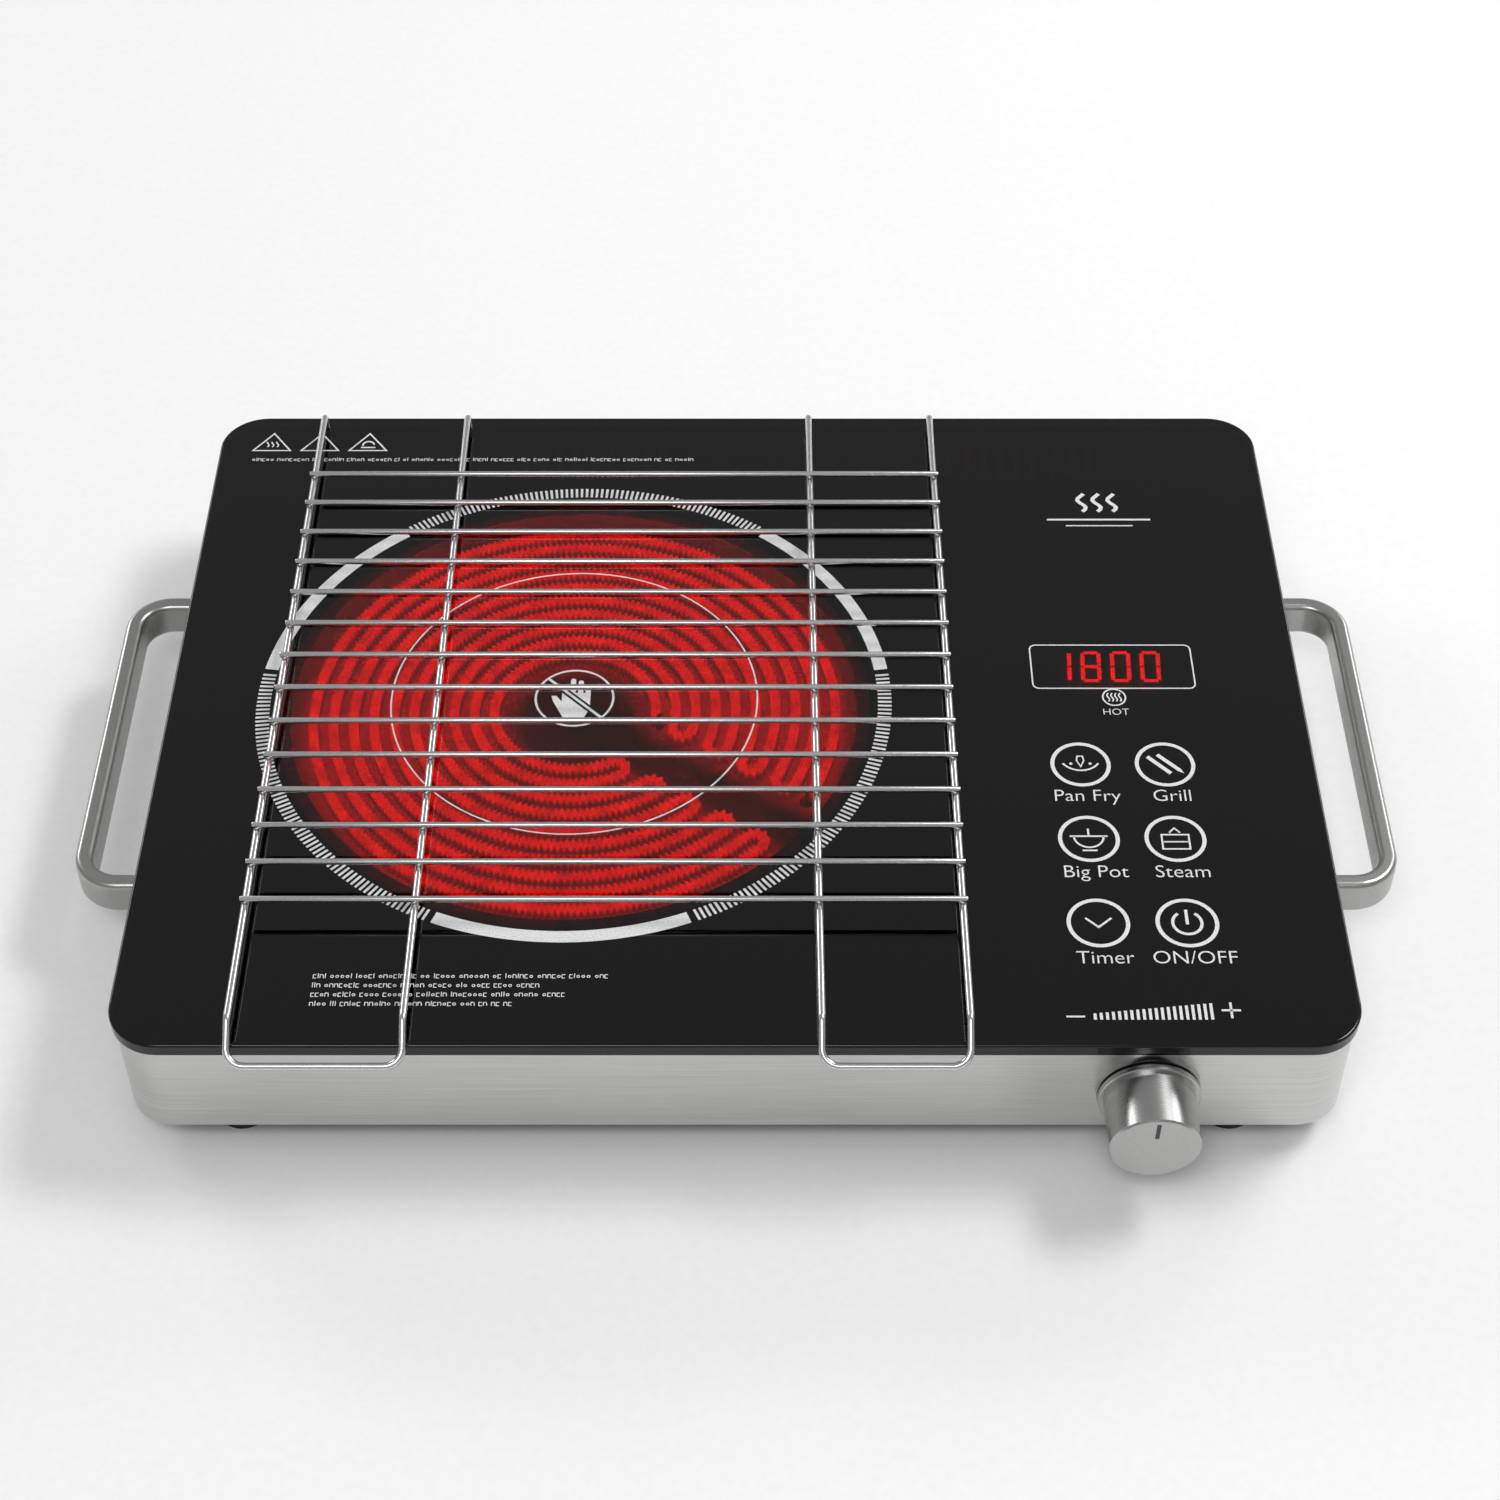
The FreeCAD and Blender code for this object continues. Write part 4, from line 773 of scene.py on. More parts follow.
@dataclass
class InkLayer:
    """Flat print on a level surface, drawn in millimetres round a middle point.

    Attributes:
        kit: The mesh that the print goes into.
        middle: Where the drawing's zero lies, in metres.
        low: Height of the print's underside, in metres.
        thick: Thickness of the print, in millimetres.
    """

    kit: MeshKit
    middle: Point
    low: float
    thick: float = 0.02

    def lift(self, outline: Iterable[Point], rise: float) -> list[Vector]:
        """Turns drawn points into points in space.

        Args:
            outline: The drawn points.
            rise: Their height over the underside, in millimetres.

        Returns:
            The points, in metres.
        """
        return [Vector((self.middle[0] + x * MM, self.middle[1] + y * MM, self.low + rise * MM))
                for x, y in outline]

    def patch(self, outline: Sequence[Point]) -> None:
        """Prints one filled outline."""
        self.kit.ring_strip([self.lift(outline, 0), self.lift(outline, self.thick)])

    def stroke(self, path: Sequence[Point], width: float, closed: bool = False) -> None:
        """Prints a line of even width.

        Args:
            path: Points along the line's middle.
            width: The line's width.
            closed: True where the line ends where it starts.
        """
        count = len(path)
        rings = []
        for i, (x, y) in enumerate(path):
            before = path[(i - 1) % count] if closed or i else path[0]
            after = path[(i + 1) % count] if closed or i + 1 < count else path[-1]
            ax, ay = x - before[0], y - before[1]
            bx, by = after[0] - x, after[1] - y
            size_a, size_b = math.hypot(ax, ay) or 1, math.hypot(bx, by) or 1
            tx, ty = ax / size_a + bx / size_b, ay / size_a + by / size_b
            size = math.hypot(tx, ty) or 1
            nx, ny = -ty / size, tx / size
            miter = max(0.5, size / 2 if size_a > 1e-9 and size_b > 1e-9 else 1.0)
            if i in (0, count - 1) and not closed:
                miter = 1.0
            half = width / 2 / miter
            left, right = (x + nx * half, y + ny * half), (x - nx * half, y - ny * half)
            rings.append(self.lift((left, right), 0) + self.lift((right, left), self.thick))
        self.kit.ring_strip(rings, closed)

    def circle(self, radius: float, width: float, centre: Point = (0, 0)) -> None:
        """Prints a ring.

        Args:
            radius: Middle radius of the ring.
            width: Width of its line.
            centre: Its centre.
        """
        step = 3.0 if radius > 20 else 7.5
        self.stroke(arc(radius, 0, 360, centre, step)[:-1], width, True)

    def words(self, text: str, tall: float, centre: Point) -> None:
        """Prints plain generic lettering.

        Args:
            text: The letters.
            tall: Height of a capital, in millimetres.
            centre: Middle of the line.
        """
        cap_share, thinning = 0.7, 0.012
        curve = bpy.data.curves.new("lettering", "FONT")
        curve.body = text
        curve.align_x, curve.align_y = "CENTER", "CENTER"
        curve.size = tall / cap_share * MM
        curve.resolution_u = 4
        curve.offset = -tall * thinning * MM
        curve.extrude = self.thick / 2 * MM
        letters = bpy.data.objects.new("lettering", curve)
        bpy.context.scene.collection.objects.link(letters)
        bpy.context.view_layer.update()
        mesh = bpy.data.meshes.new_from_object(
            letters.evaluated_get(bpy.context.evaluated_depsgraph_get()))
        work = bmesh.new()
        work.from_mesh(mesh)
        bmesh.ops.remove_doubles(work, verts=work.verts, dist=1e-7)
        bmesh.ops.triangulate(work, faces=work.faces)
        start = len(self.kit.points)
        shift = self.lift([centre], self.thick / 2)[0]
        self.kit.points.extend(vert.co + shift for vert in work.verts)
        self.kit.faces.extend(tuple(start + vert.index for vert in face.verts)
                              for face in work.faces)
        work.free()
        bpy.data.meshes.remove(mesh)
        bpy.data.objects.remove(letters)
        bpy.data.curves.remove(curve)

    def blind_text(self, left: float, right: float, y: float, tall: float, seed: int) -> None:
        """Prints a line of small marks that stands for fine print and says nothing.

        Args:
            left: Where the line starts.
            right: Where it ends.
            y: The line's height on the print.
            tall: Height of the marks.
            seed: Picks the marks' pattern.
        """
        dice = random.Random(seed)
        x = left
        letters = dice.randint(3, 8)
        thin = tall * 0.14
        letter_gap, word_gap, small_letter = tall * 0.24, tall * 0.5, tall * 0.72
        while x < right:
            shape, wide = dice.choice((("stem", 0.14), ("bowl", 0.62), ("arch", 0.56),
                                       ("bowl", 0.62), ("hook", 0.5)))
            wide *= tall
            low, high = y, y + small_letter
            if shape == "stem":
                self.stroke([(x + thin / 2, low), (x + thin / 2, y + tall)], thin)
            elif shape == "bowl":
                bowl = arc(wide / 2 - thin / 2, 0, 360, (x + wide / 2, (low + high) / 2), 45)
                self.stroke(bowl[:-1], thin, True)
            elif shape == "arch":
                self.stroke([(x, low), (x, high), (x + wide * 0.8, high),
                             (x + wide, high - thin * 2), (x + wide, low)], thin)
            else:
                self.stroke([(x + wide, high), (x, high), (x, low), (x + wide, low)], thin)
            x += wide + letter_gap
            letters -= 1
            if not letters:
                x += word_gap
                letters = dice.randint(2, 8)


def paint(finish: Finish, *names: str) -> None:
    """Gives CAD nodes a finish.

    Args:
        finish: The finish.
        names: The nodes.
    """
    for name in names:
        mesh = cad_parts[name].data
        mesh.materials.clear()
        mesh.materials.append(finish.material())
        LOG.info("%s: %s", name, finish.name)


GLASS_LOW, GLASS_HIGH = (Vector(corner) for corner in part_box("glass_plate"))
PLATE_MIDDLE = ((GLASS_LOW.x + GLASS_HIGH.x) / 2, (GLASS_LOW.y + GLASS_HIGH.y) / 2)
PAN_LOW, PAN_HIGH = (Vector(corner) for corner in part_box("heater_pan"))
HEATER_MIDDLE = ((PAN_LOW.x + PAN_HIGH.x) / 2, (PAN_LOW.y + PAN_HIGH.y) / 2)


@dataclass
class CookZone:
    """The glass plate and the cook zone that is printed on it, in millimetres.

    Attributes:
        ring: Middle radius of the outer ring.
        ring_wide: Width of the outer ring.
        bold_arcs: Directions of the ring's three unbroken arcs.
        bold_half: Half the angle of an unbroken arc.
        tick_wide: Width of one tick.
        inner_ring: Radius of the inner line.
        hand_ring: Radius of the sign in the middle.
        palm: Outline of the sign's palm and thumb.
        fingers: Middle and tip of each finger.
    """

    ring: float = 95.8
    ring_wide: float = 4.2
    bold_arcs: tuple[float, ...] = (30.0, 150.0, 270.0)
    bold_half: float = 22.5
    tick_wide: float = 0.8
    inner_ring: float = 56.5
    hand_ring: float = 12.0
    palm: tuple[Point, ...] = ((-3.3, -8.4), (3.2, -8.4), (4.9, -4.6), (4.9, 2.2), (-3.9, 2.2),
                               (-3.9, -1.6), (-5.6, 0.9), (-7.2, 0.9), (-6.6, -1.4))
    fingers: tuple[Point, ...] = ((-3.1, 5.6), (-0.6, 8.4), (1.8, 7.6), (4.1, 5.9))

    def build(self) -> None:
        """Dresses the glass and prints the zone."""
        paint(PLATE, "glass_plate")
        # Silicone, laid as a bead and levelled: a soft black line between glass and steel.
        paint(Moulded("black silicone seal", "0c0c0c", "161616", 0.45, 1.5, 0.02), "glass_seal")
        kit = MeshKit("cook_zone_print")
        ink = InkLayer(kit, HEATER_MIDDLE, GLASS_HIGH.z + PRINT_RISE)
        for middle in self.bold_arcs:
            ink.stroke(arc(self.ring, middle - self.bold_half, middle + self.bold_half,
                           step=1.5), self.ring_wide)
        for degree in range(360):
            away = min(abs((degree - middle + 180) % 360 - 180) for middle in self.bold_arcs)
            if away > self.bold_half + 0.6:
                self.tick(ink, degree)
        ink.circle(self.inner_ring, 0.5)
        self.hand_sign(ink)
        kit.make(ENAMEL, "housing")

    def tick(self, ink: InkLayer, degree: float) -> None:
        """Prints one short radial tick of the outer ring.

        Args:
            ink: The print.
            degree: The tick's direction.
        """
        c, s = math.cos(math.radians(degree)), math.sin(math.radians(degree))
        inner, outer = self.ring - self.ring_wide / 2, self.ring + self.ring_wide / 2
        ink.stroke([(inner * c, inner * s), (outer * c, outer * s)], self.tick_wide)

    def hand_sign(self, ink: InkLayer) -> None:
        """Prints the plain do-not-touch sign: a ring, an open hand and a bar.

        Args:
            ink: The print.
        """
        ink.circle(self.hand_ring, 0.7)
        ink.patch(self.palm)
        knuckles, half = 2.2, 0.8
        for x, top in self.fingers:
            ink.patch([(x - half, knuckles), (x + half, knuckles), (x + half, top - 0.5),
                       (x + half / 2, top), (x - half / 2, top), (x - half, top - 0.5)])
        slant = math.radians(-45)
        reach = self.hand_ring
        bar = [(-reach * math.cos(slant), -reach * math.sin(slant)),
               (reach * math.cos(slant), reach * math.sin(slant))]
        inside_ring = 0.94
        inner = [(x * inside_ring, y * inside_ring) for x, y in bar]
        mask = MeshKit("hand_sign_gap")
        InkLayer(mask, ink.middle, ink.low + 0.03 * MM).stroke(inner, 2.4)
        # A second screen of black ink clears the glass beside the bar: the hand stops short.
        mask.make(Moulded("fired black enamel", "050505", "0a0a0a", 0.3, 0.5, 0.002), "housing")
        InkLayer(ink.kit, ink.middle, ink.low + 0.06 * MM).stroke(bar, 0.9)


@dataclass
class PlateMarks:
    """Blind fine print, caution triangles and a plain heat mark on the glass.

    Attributes:
        triangles: Middles of the three triangles.
        triangle_size: Half the base, the foot and the tip of a triangle.
        note_tall: Height of the fine print.
        mark: Where the heat mark stands.
        note_rows: Left end, right end and height of each row of blind fine print.
    """

    triangles: tuple[float, ...] = (-157.5, -141.2, -125.0)
    triangle_size: Triple = (6.3, 117.6, 126.4)
    note_tall: float = 1.7
    mark: Point = (119.0, 91.0)
    note_rows: tuple[tuple[float, float, float], ...] = (
        (-163.5, -15.7, 112.2), (-118.8, -36.0, -110.9), (-118.8, -56.0, -114.2),
        (-118.8, -48.0, -117.5), (-118.8, -63.0, -120.8))

    def build(self) -> None:
        """Prints the marks."""
        kit = MeshKit("plate_marks_print")
        ink = InkLayer(kit, PLATE_MIDDLE, GLASS_HIGH.z + PRINT_RISE)
        half, foot, tip = self.triangle_size
        for i, x in enumerate(self.triangles):
            ink.stroke([(x - half, foot), (x + half, foot), (x, tip)], 0.55, True)
            self.sign(ink, x, foot + 3.4, i)
        for seed, (left, right, y) in enumerate(self.note_rows):
            ink.blind_text(left, right, y, self.note_tall, seed)
        self.heat_mark(ink, *self.mark)
        kit.make(ENAMEL, "housing")

    def sign(self, ink: InkLayer, x: float, y: float, which: int) -> None:
        """Prints the small figure inside one triangle.

        Args:
            ink: The print.
            x: The figure's middle.
            y: The figure's height on the print.
            which: The triangle's number, from the left.
        """
        if which == 1:
            ink.stroke([(x, y - 0.6), (x, y + 2.4)], 0.8)
            ink.stroke([(x, y - 2.2), (x, y - 1.4)], 0.8)
        elif which == 0:
            for shift in (-1.6, 0.0, 1.6):
                ink.stroke([(x + shift + 0.4 * math.sin(k), y - 1.6 + 0.55 * k)
                            for k in range(6)], 0.45)
        else:
            ink.stroke(arc(1.9, 10, 190, (x, y - 0.6), 15), 0.6)
            ink.stroke([(x - 2.4, y - 1.8), (x + 2.4, y - 1.8)], 0.6)

    def heat_mark(self, ink: InkLayer, x: float, y: float) -> None:
        """Prints a plain sign for heat: three rising waves over two lines.

        Args:
            ink: The print.
            x: The sign's middle.
            y: The sign's height on the print.
        """
        for shift in (-5.0, 0.0, 5.0):
            ink.stroke([(x + shift + 1.3 * math.sin(0.9 * k), y - 4.4 + 1.1 * k)
                        for k in range(9)], 1.3)
        ink.stroke([(x - 17.0, y - 8.4), (x + 17.0, y - 8.4)], 0.8)
        ink.stroke([(x - 11.0, y - 11.4), (x + 11.0, y - 11.4)], 0.5)


SEGMENTS = {"a": ((0, 2), (1, 2)), "b": ((1, 2), (1, 1)), "c": ((1, 1), (1, 0)),
            "d": ((0, 0), (1, 0)), "e": ((0, 1), (0, 0)), "f": ((0, 2), (0, 1)),
            "g": ((0, 1), (1, 1))}
DIGIT_SEGMENTS = {"0": "abcdef", "1": "bc", "8": "abcdefg"}


@dataclass
class ControlPanel:
    """Display, touch keys and level bar, in millimetres from the plate's middle.

    Attributes:
        columns: Where the two columns of keys stand.
        rows: Where the three rows stand.
        key_ring: Middle radius of a key's ring.
        labels: The keys' plain words, row by row.
        label_drop: How far a word lies under its key.
        label_shift: How far a word lies to the right of its key.
        digits: What the display shows.
        digit_size: Width and height of one digit.
        digit_step: From one digit to the next.
        digit_first: Lower left corner of the first digit.
        digit_slant: How far a digit leans to the right, per height.
        window: Left, right, lower and upper edge of the display's frame.
        window_bend: Corner radius of the frame.
        hot: Where the heat sign stands.
        bar_foot: Height of the level bar on the print.
        bar_ticks: Number of its ticks.
    """

    columns: tuple[float, float] = (104.0, 129.5)
    rows: tuple[float, float, float] = (-28.2, -58.3, -90.6)
    key_ring: float = 8.5
    labels: tuple[tuple[str, str], ...] = (("Pan Fry", "Grill"), ("Big Pot", "Steam"),
                                           ("Timer", "ON/OFF"))
    label_drop: float = 13.0
    label_shift: float = 0.9
    digits: str = "1800"
    digit_size: Point = (5.1, 12.4)
    digit_step: float = 9.3
    digit_first: Point = (98.9, 9.9)
    digit_slant: float = 0.05
    window: tuple[float, float, float, float] = (92.0, 142.4, 4.2, 23.4)
    window_bend: float = 2.0
    hot: Point = (116.7, 0.3)
    bar_foot: float = -124.6
    bar_ticks: int = 20

    def build(self) -> None:
        """Prints the panel and lights the display."""
        kit = MeshKit("control_panel_print")
        ink = InkLayer(kit, PLATE_MIDDLE, GLASS_HIGH.z + PRINT_RISE)
        self.display_frame(ink)
        self.hot_sign(ink, *self.hot)
        for y, words in zip(self.rows, self.labels):
            for x, word in zip(self.columns, words):
                ink.circle(self.key_ring, 1.2, (x, y))
                ink.words(word, 4.7, (x + self.label_shift, y - self.label_drop))
        self.key_figures(ink)
        self.level_bar(ink)
        kit.make(ENAMEL, "housing")
        self.lit_digits()

    def display_frame(self, ink: InkLayer) -> None:
        """Prints the rounded frame round the display.

        Args:
            ink: The print.
        """
        (left, right, low, high), bend = self.window, self.window_bend
        outline: list[Point] = []
        for x, y, start in ((right - bend, high - bend, 0), (left + bend, high - bend, 90),
                            (left + bend, low + bend, 180), (right - bend, low + bend, 270)):
            outline += arc(bend, start, start + 90, (x, y), 15)
        ink.stroke(outline, 0.45, True)

    def hot_sign(self, ink: InkLayer, x: float, y: float) -> None:
        """Prints the small heat sign and its word under the display.

        Args:
            ink: The print.
            x: The sign's middle.
            y: The sign's height on the print.
        """
        ink.circle(3.5, 0.5, (x, y))
        for shift in (-1.8, -0.6, 0.6, 1.8):
            ink.stroke([(x + shift + 0.35 * math.sin(1.1 * k), y - 1.8 + 0.6 * k)
                        for k in range(7)], 0.45)
        ink.words("HOT", 2.7, (x, y - 6.4))

    def key_figures(self, ink: InkLayer) -> None:
        """Prints the plain figure inside each key's ring.

        Args:
            ink: The print.
        """
        (left, right), (top, middle, low) = self.columns, self.rows
        # A wok's curve with a drop and two dots.
        ink.stroke(arc(6.4, 213, 327, (left, top + 3.9), 12), 0.6)
        ink.stroke([(left, top - 0.9), (left + 1.1, top + 1.6), (left + 0.8, top + 3.4),
                    (left - 0.8, top + 3.4), (left - 1.1, top + 1.6)], 0.45, True)
        for shift in (-2.9, 2.9):
            ink.patch(arc(0.5, 0, 330, (left + shift, top + 0.3), 30))
        # Two slanted tools, one with a pointed tip.
        ink.stroke([(right - 5.1, top + 3.2), (right + 1.4, top - 3.7)], 1.3)
        ink.stroke([(right - 2.0, top + 4.0), (right + 4.0, top - 2.2)], 1.3)
        ink.patch([(right + 3.5, top - 2.7), (right + 4.5, top - 1.7), (right + 5.4, top - 3.7)])
        # A deep bowl with its lid's knob and its stand.
        ink.stroke(arc(4.4, 180, 360, (left, middle + 1.0), 15), 0.6)
        ink.stroke([(left - 5.6, middle + 1.0), (left + 5.6, middle + 1.0)], 0.6)
        ink.stroke([(left, middle + 1.4), (left, middle + 4.0)], 0.6)
        ink.stroke([(left - 2.2, middle - 4.6), (left + 2.2, middle - 4.6)], 0.6)
        # A two-tier box with a handle.
        ink.stroke([(right - 4.0, middle - 4.0), (right + 4.0, middle - 4.0),
                    (right + 4.0, middle + 1.6), (right - 4.0, middle + 1.6)], 0.55, True)
        ink.stroke([(right - 3.6, middle - 1.2), (right + 3.6, middle - 1.2)], 0.5)
        ink.stroke([(right - 1.6, middle + 2.4), (right, middle + 4.2),
                    (right + 1.6, middle + 2.4)], 0.5)
        # A clock's two hands, and a broken ring with a bar.
        ink.stroke([(left - 3.6, low + 1.8), (left, low - 1.6), (left + 3.9, low + 1.8)], 0.65)
        ink.stroke(arc(4.2, 125, 415, (right, low), 15), 0.9)
        ink.stroke([(right, low - 0.6), (right, low + 4.9)], 0.9)

    def level_bar(self, ink: InkLayer) -> None:
        """Prints the power wedge with its minus and plus.

        Args:
            ink: The print.
        """
        y, gaps = self.bar_foot, self.bar_ticks - 1
        ink.stroke([(92.2, y), (97.4, y)], 0.6)
        ink.stroke([(135.6, y + 2.2), (141.0, y + 2.2)], 0.7)
        ink.stroke([(138.3, y - 0.6), (138.3, y + 5.0)], 0.7)
        half, foot = 0.42, y - 1.1
        for i in range(self.bar_ticks):
            x = 100.2 + i * 32.6 / gaps
            high = 2.2 + 3.6 * i / gaps
            ink.patch([(x - half, foot), (x + half, foot),
                       (x + half, foot + high), (x - half, foot + high)])

    def lit_digits(self) -> None:
        """Lights the display's segments just under the glass."""
        kit = MeshKit("display_segments")
        thick, under_glass, segment_gap = 0.05, 0.05, 0.3
        light = InkLayer(kit, PLATE_MIDDLE, GLASS_LOW.z - (thick + under_glass) * MM, thick)
        wide, tall = self.digit_size
        first_x, base_y = self.digit_first
        for i, digit in enumerate(self.digits):
            for name in DIGIT_SEGMENTS[digit]:
                (ax, ay), (bx, by) = SEGMENTS[name]
                ends = []
                for x, y, dx, dy in ((ax, ay, bx - ax, by - ay), (bx, by, ax - bx, ay - by)):
                    px = first_x + i * self.digit_step + x * wide + dx * segment_gap
                    py = base_y + y * tall / 2 + dy * segment_gap
                    ends.append((px + (py - base_y) * self.digit_slant, py))
                light.stroke(ends, 1.3)
        # Red diodes under milky resin: flat, even bars of light behind the dark glass.
        kit.make(LitSegment("lit display segments"), "housing")


@dataclass
class Heater:
    """The glowing ribbon and what holds it, in millimetres.

    Attributes:
        first: Radius of the innermost turn.
        pitch: From one turn to the next.
        turns: Number of turns.
        lane_angle: Direction of the lane that the turns leave free, in degrees.
        lane_half: Half the lane's width.
        wave: Reach of a corrugation to each side.
        wave_long: Length of one corrugation.
        wave_points: Points along one corrugation.
        thick: Thickness of the ribbon, drawn three times the real one so that it shows.
    """

    first: float = 25.0
    pitch: float = 6.2
    turns: int = 10
    lane_angle: float = -35.0
    lane_half: float = 9.5
    wave: float = 0.75
    wave_long: float = 1.9
    wave_points: int = 7
    thick: float = 1.5

    def route(self, step: float) -> list[Vector]:
        """Follows the ribbon's middle line, in millimetres from the heater's middle.

        Args:
            step: Distance between points.

        Returns:
            Points from the innermost turn to the outermost.
        """
        clear = self.lane_half + self.pitch / 2
        lane = math.radians(self.lane_angle)
        path: list[Vector] = []
        entry = lane + math.asin(clear / self.first)
        for i in range(self.turns):
            radius = self.first + i * self.pitch
            last = i + 1 == self.turns
            onward = radius if last else radius + self.pitch / 2
            gap = math.asin(clear / onward)
            leave = lane + 2 * math.pi - gap if i % 2 == 0 else lane + gap
            count = int(abs(leave - entry) * radius / step)
            for k in range(count):
                a = entry + (leave - entry) * k / count
                path.append(Vector((math.cos(a), math.sin(a))) * radius)
            if not last:
                path += self.half_turn(onward, leave, 1 if i % 2 == 0 else -1, step)
            entry = leave
        return path

    def half_turn(self, radius: float, angle: float, way: int, step: float) -> list[Vector]:
        """Follows the bend that joins two turns beside the lane.

        Args:
            radius: Distance of the bend's middle from the heater's middle.
            angle: Direction of the bend's middle.
            way: One where the ribbon runs anticlockwise, else minus one.
            step: Distance between points.

        Returns:
            Points along the bend.
        """
        bend = self.pitch / 2
        out = Vector((math.cos(angle), math.sin(angle)))
        along = Vector((-math.sin(angle), math.cos(angle))) * way
        count = int(math.pi * bend / step)
        return [out * radius + (along * math.sin(t) - out * math.cos(t)) * bend
                for t in (math.pi * k / count for k in range(count))]

    def build(self) -> None:
        """Makes the ribbon and dresses the heater's parts."""
        kit = MeshKit("heating_ribbon")
        low, high = (Vector(corner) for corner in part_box("heater_element"))
        cx, cy = HEATER_MIDDLE
        step = self.wave_long / self.wave_points
        rings = []
        path = self.route(step)
        for i, spot in enumerate(path):
            way = (path[min(i + 1, len(path) - 1)] - path[max(i - 1, 0)]).normalized()
            side = Vector((-way.y, way.x))
            sway = self.wave * math.sin(2 * math.pi * i * step / self.wave_long)
            ring = []
            for half, z in ((-1, low.z), (1, low.z), (1, high.z), (-1, high.z)):
                flat = spot + side * (sway + half * self.thick / 2)
                ring.append(Vector((cx + flat.x * MM, cy + flat.y * MM, z)))
            rings.append(ring)
        kit.ring_strip(rings)
        # Rolled heating alloy at full power: bright red lines that waver along the turns.
        alloy = HotAlloy("red-hot heating ribbon", low.z, (high.z - low.z) / MM)
        ribbon = kit.make(alloy, "housing", 50)
        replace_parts(ribbon, "heater_element")
        middle = (cx, cy, 0.0)
        # Pressed silica board, pale, with painted light from the ribbon: a deep red painted glow
        # between the turns.
        paint(PaintedGlowBoard("microporous board with painted glow", middle, lane_angle=self.lane_angle,
                       lane_half=self.lane_half), "heater_insulation_base")
        # The same board stands as a rim round the turns, with only a faint painted glow.
        paint(PaintedGlowBoard("rim board with painted glow", middle, reach=84.0, lane_angle=self.lane_angle,
                       lane_half=self.lane_half, strength=2.5), "heater_insulation_ring")
        # Aluminised steel, deep-drawn: dull grey with a broad soft sheen.
        paint(BeltedMetal("pressed aluminised sheet", "7d7d7c", "a3a3a1", (0.4, 0.5),
                          (20.0, 1.5), Brushing.NONE), "heater_pan")
        # Quartz, drawn as a thin tube: clear with bright edges.
        paint(ClearQuartz("drawn quartz tube"), "limiter_rod", "fuse")
        # Steatite, dry-pressed and fired: chalky cream without gloss.
        paint(Moulded("steatite ceramic", "cfc8b8", "ded8ca", 0.5, 0.8, 0.02),
              "limiter_switch", "lead_bushings")
        paint(SPRING_STEEL, "element_leads", "heater_springs", "touch_springs",
              "encoder_shaft", "spring_posts")


@dataclass
class Case:
    """The steel case with its handles, base and feet."""

    def build(self) -> None:
        """Dresses the case."""
        paint(CASE_STEEL, "body_shell")
        paint(BAR_STEEL, "handle_left", "handle_right")
        # Steel sheet with a baked powder coating: dark grey with a fine orange peel.
        paint(Moulded("baked grey coating", "3c3d3e", "4a4b4c", 0.55, 0.8, 0.03), "base_plate")
        # Nitrile rubber, moulded: dull black that never shines.
        rubber = Moulded("black nitrile rubber", "141414", "1f1f1f", 0.75, 0.5, 0.03)
        paint(rubber, "foot_front_left", "foot_front_right", "foot_rear_left", "foot_rear_right")
        paint(SCREW_STEEL, "base_screws", "foot_screws", "handle_screws", "board_screws",
              "fan_screws")
        # Nylon with glass fibre, moulded: black with a slightly rough skin.
        paint(Moulded("black glass-filled nylon", "161616", "222222", 0.5, 0.5, 0.03),
              "cord_gland", "gland_nut")


@dataclass
class PowerKnob:
    """The turned aluminium knob and its collar.

    Attributes:
        ring_pitch: Distance between the lathe's rings, in millimetres.
    """

    ring_pitch: float = 0.22

    def build(self) -> None:
        """Dresses the knob and its collar."""
        low, high = (Vector(corner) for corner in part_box("knob"))
        axis = ((low.x + high.x) / 2, low.y, (low.z + high.z) / 2)
        # Aluminium bar, turned and polished: fine rings on its face, bands round its side.
        look = {"dark": "a8a8a7", "light": "bcbcbb", "rough": (0.24, 0.3),
                "streak": (1.0, self.ring_pitch), "way": Brushing.ROUND_Y, "centre": axis,
                "relief": 0.0008}
        paint(PointerKnobMetal("turned aluminium with pointer", **look), "knob")
        paint(BeltedMetal("turned aluminium", **look), "knob_bezel")


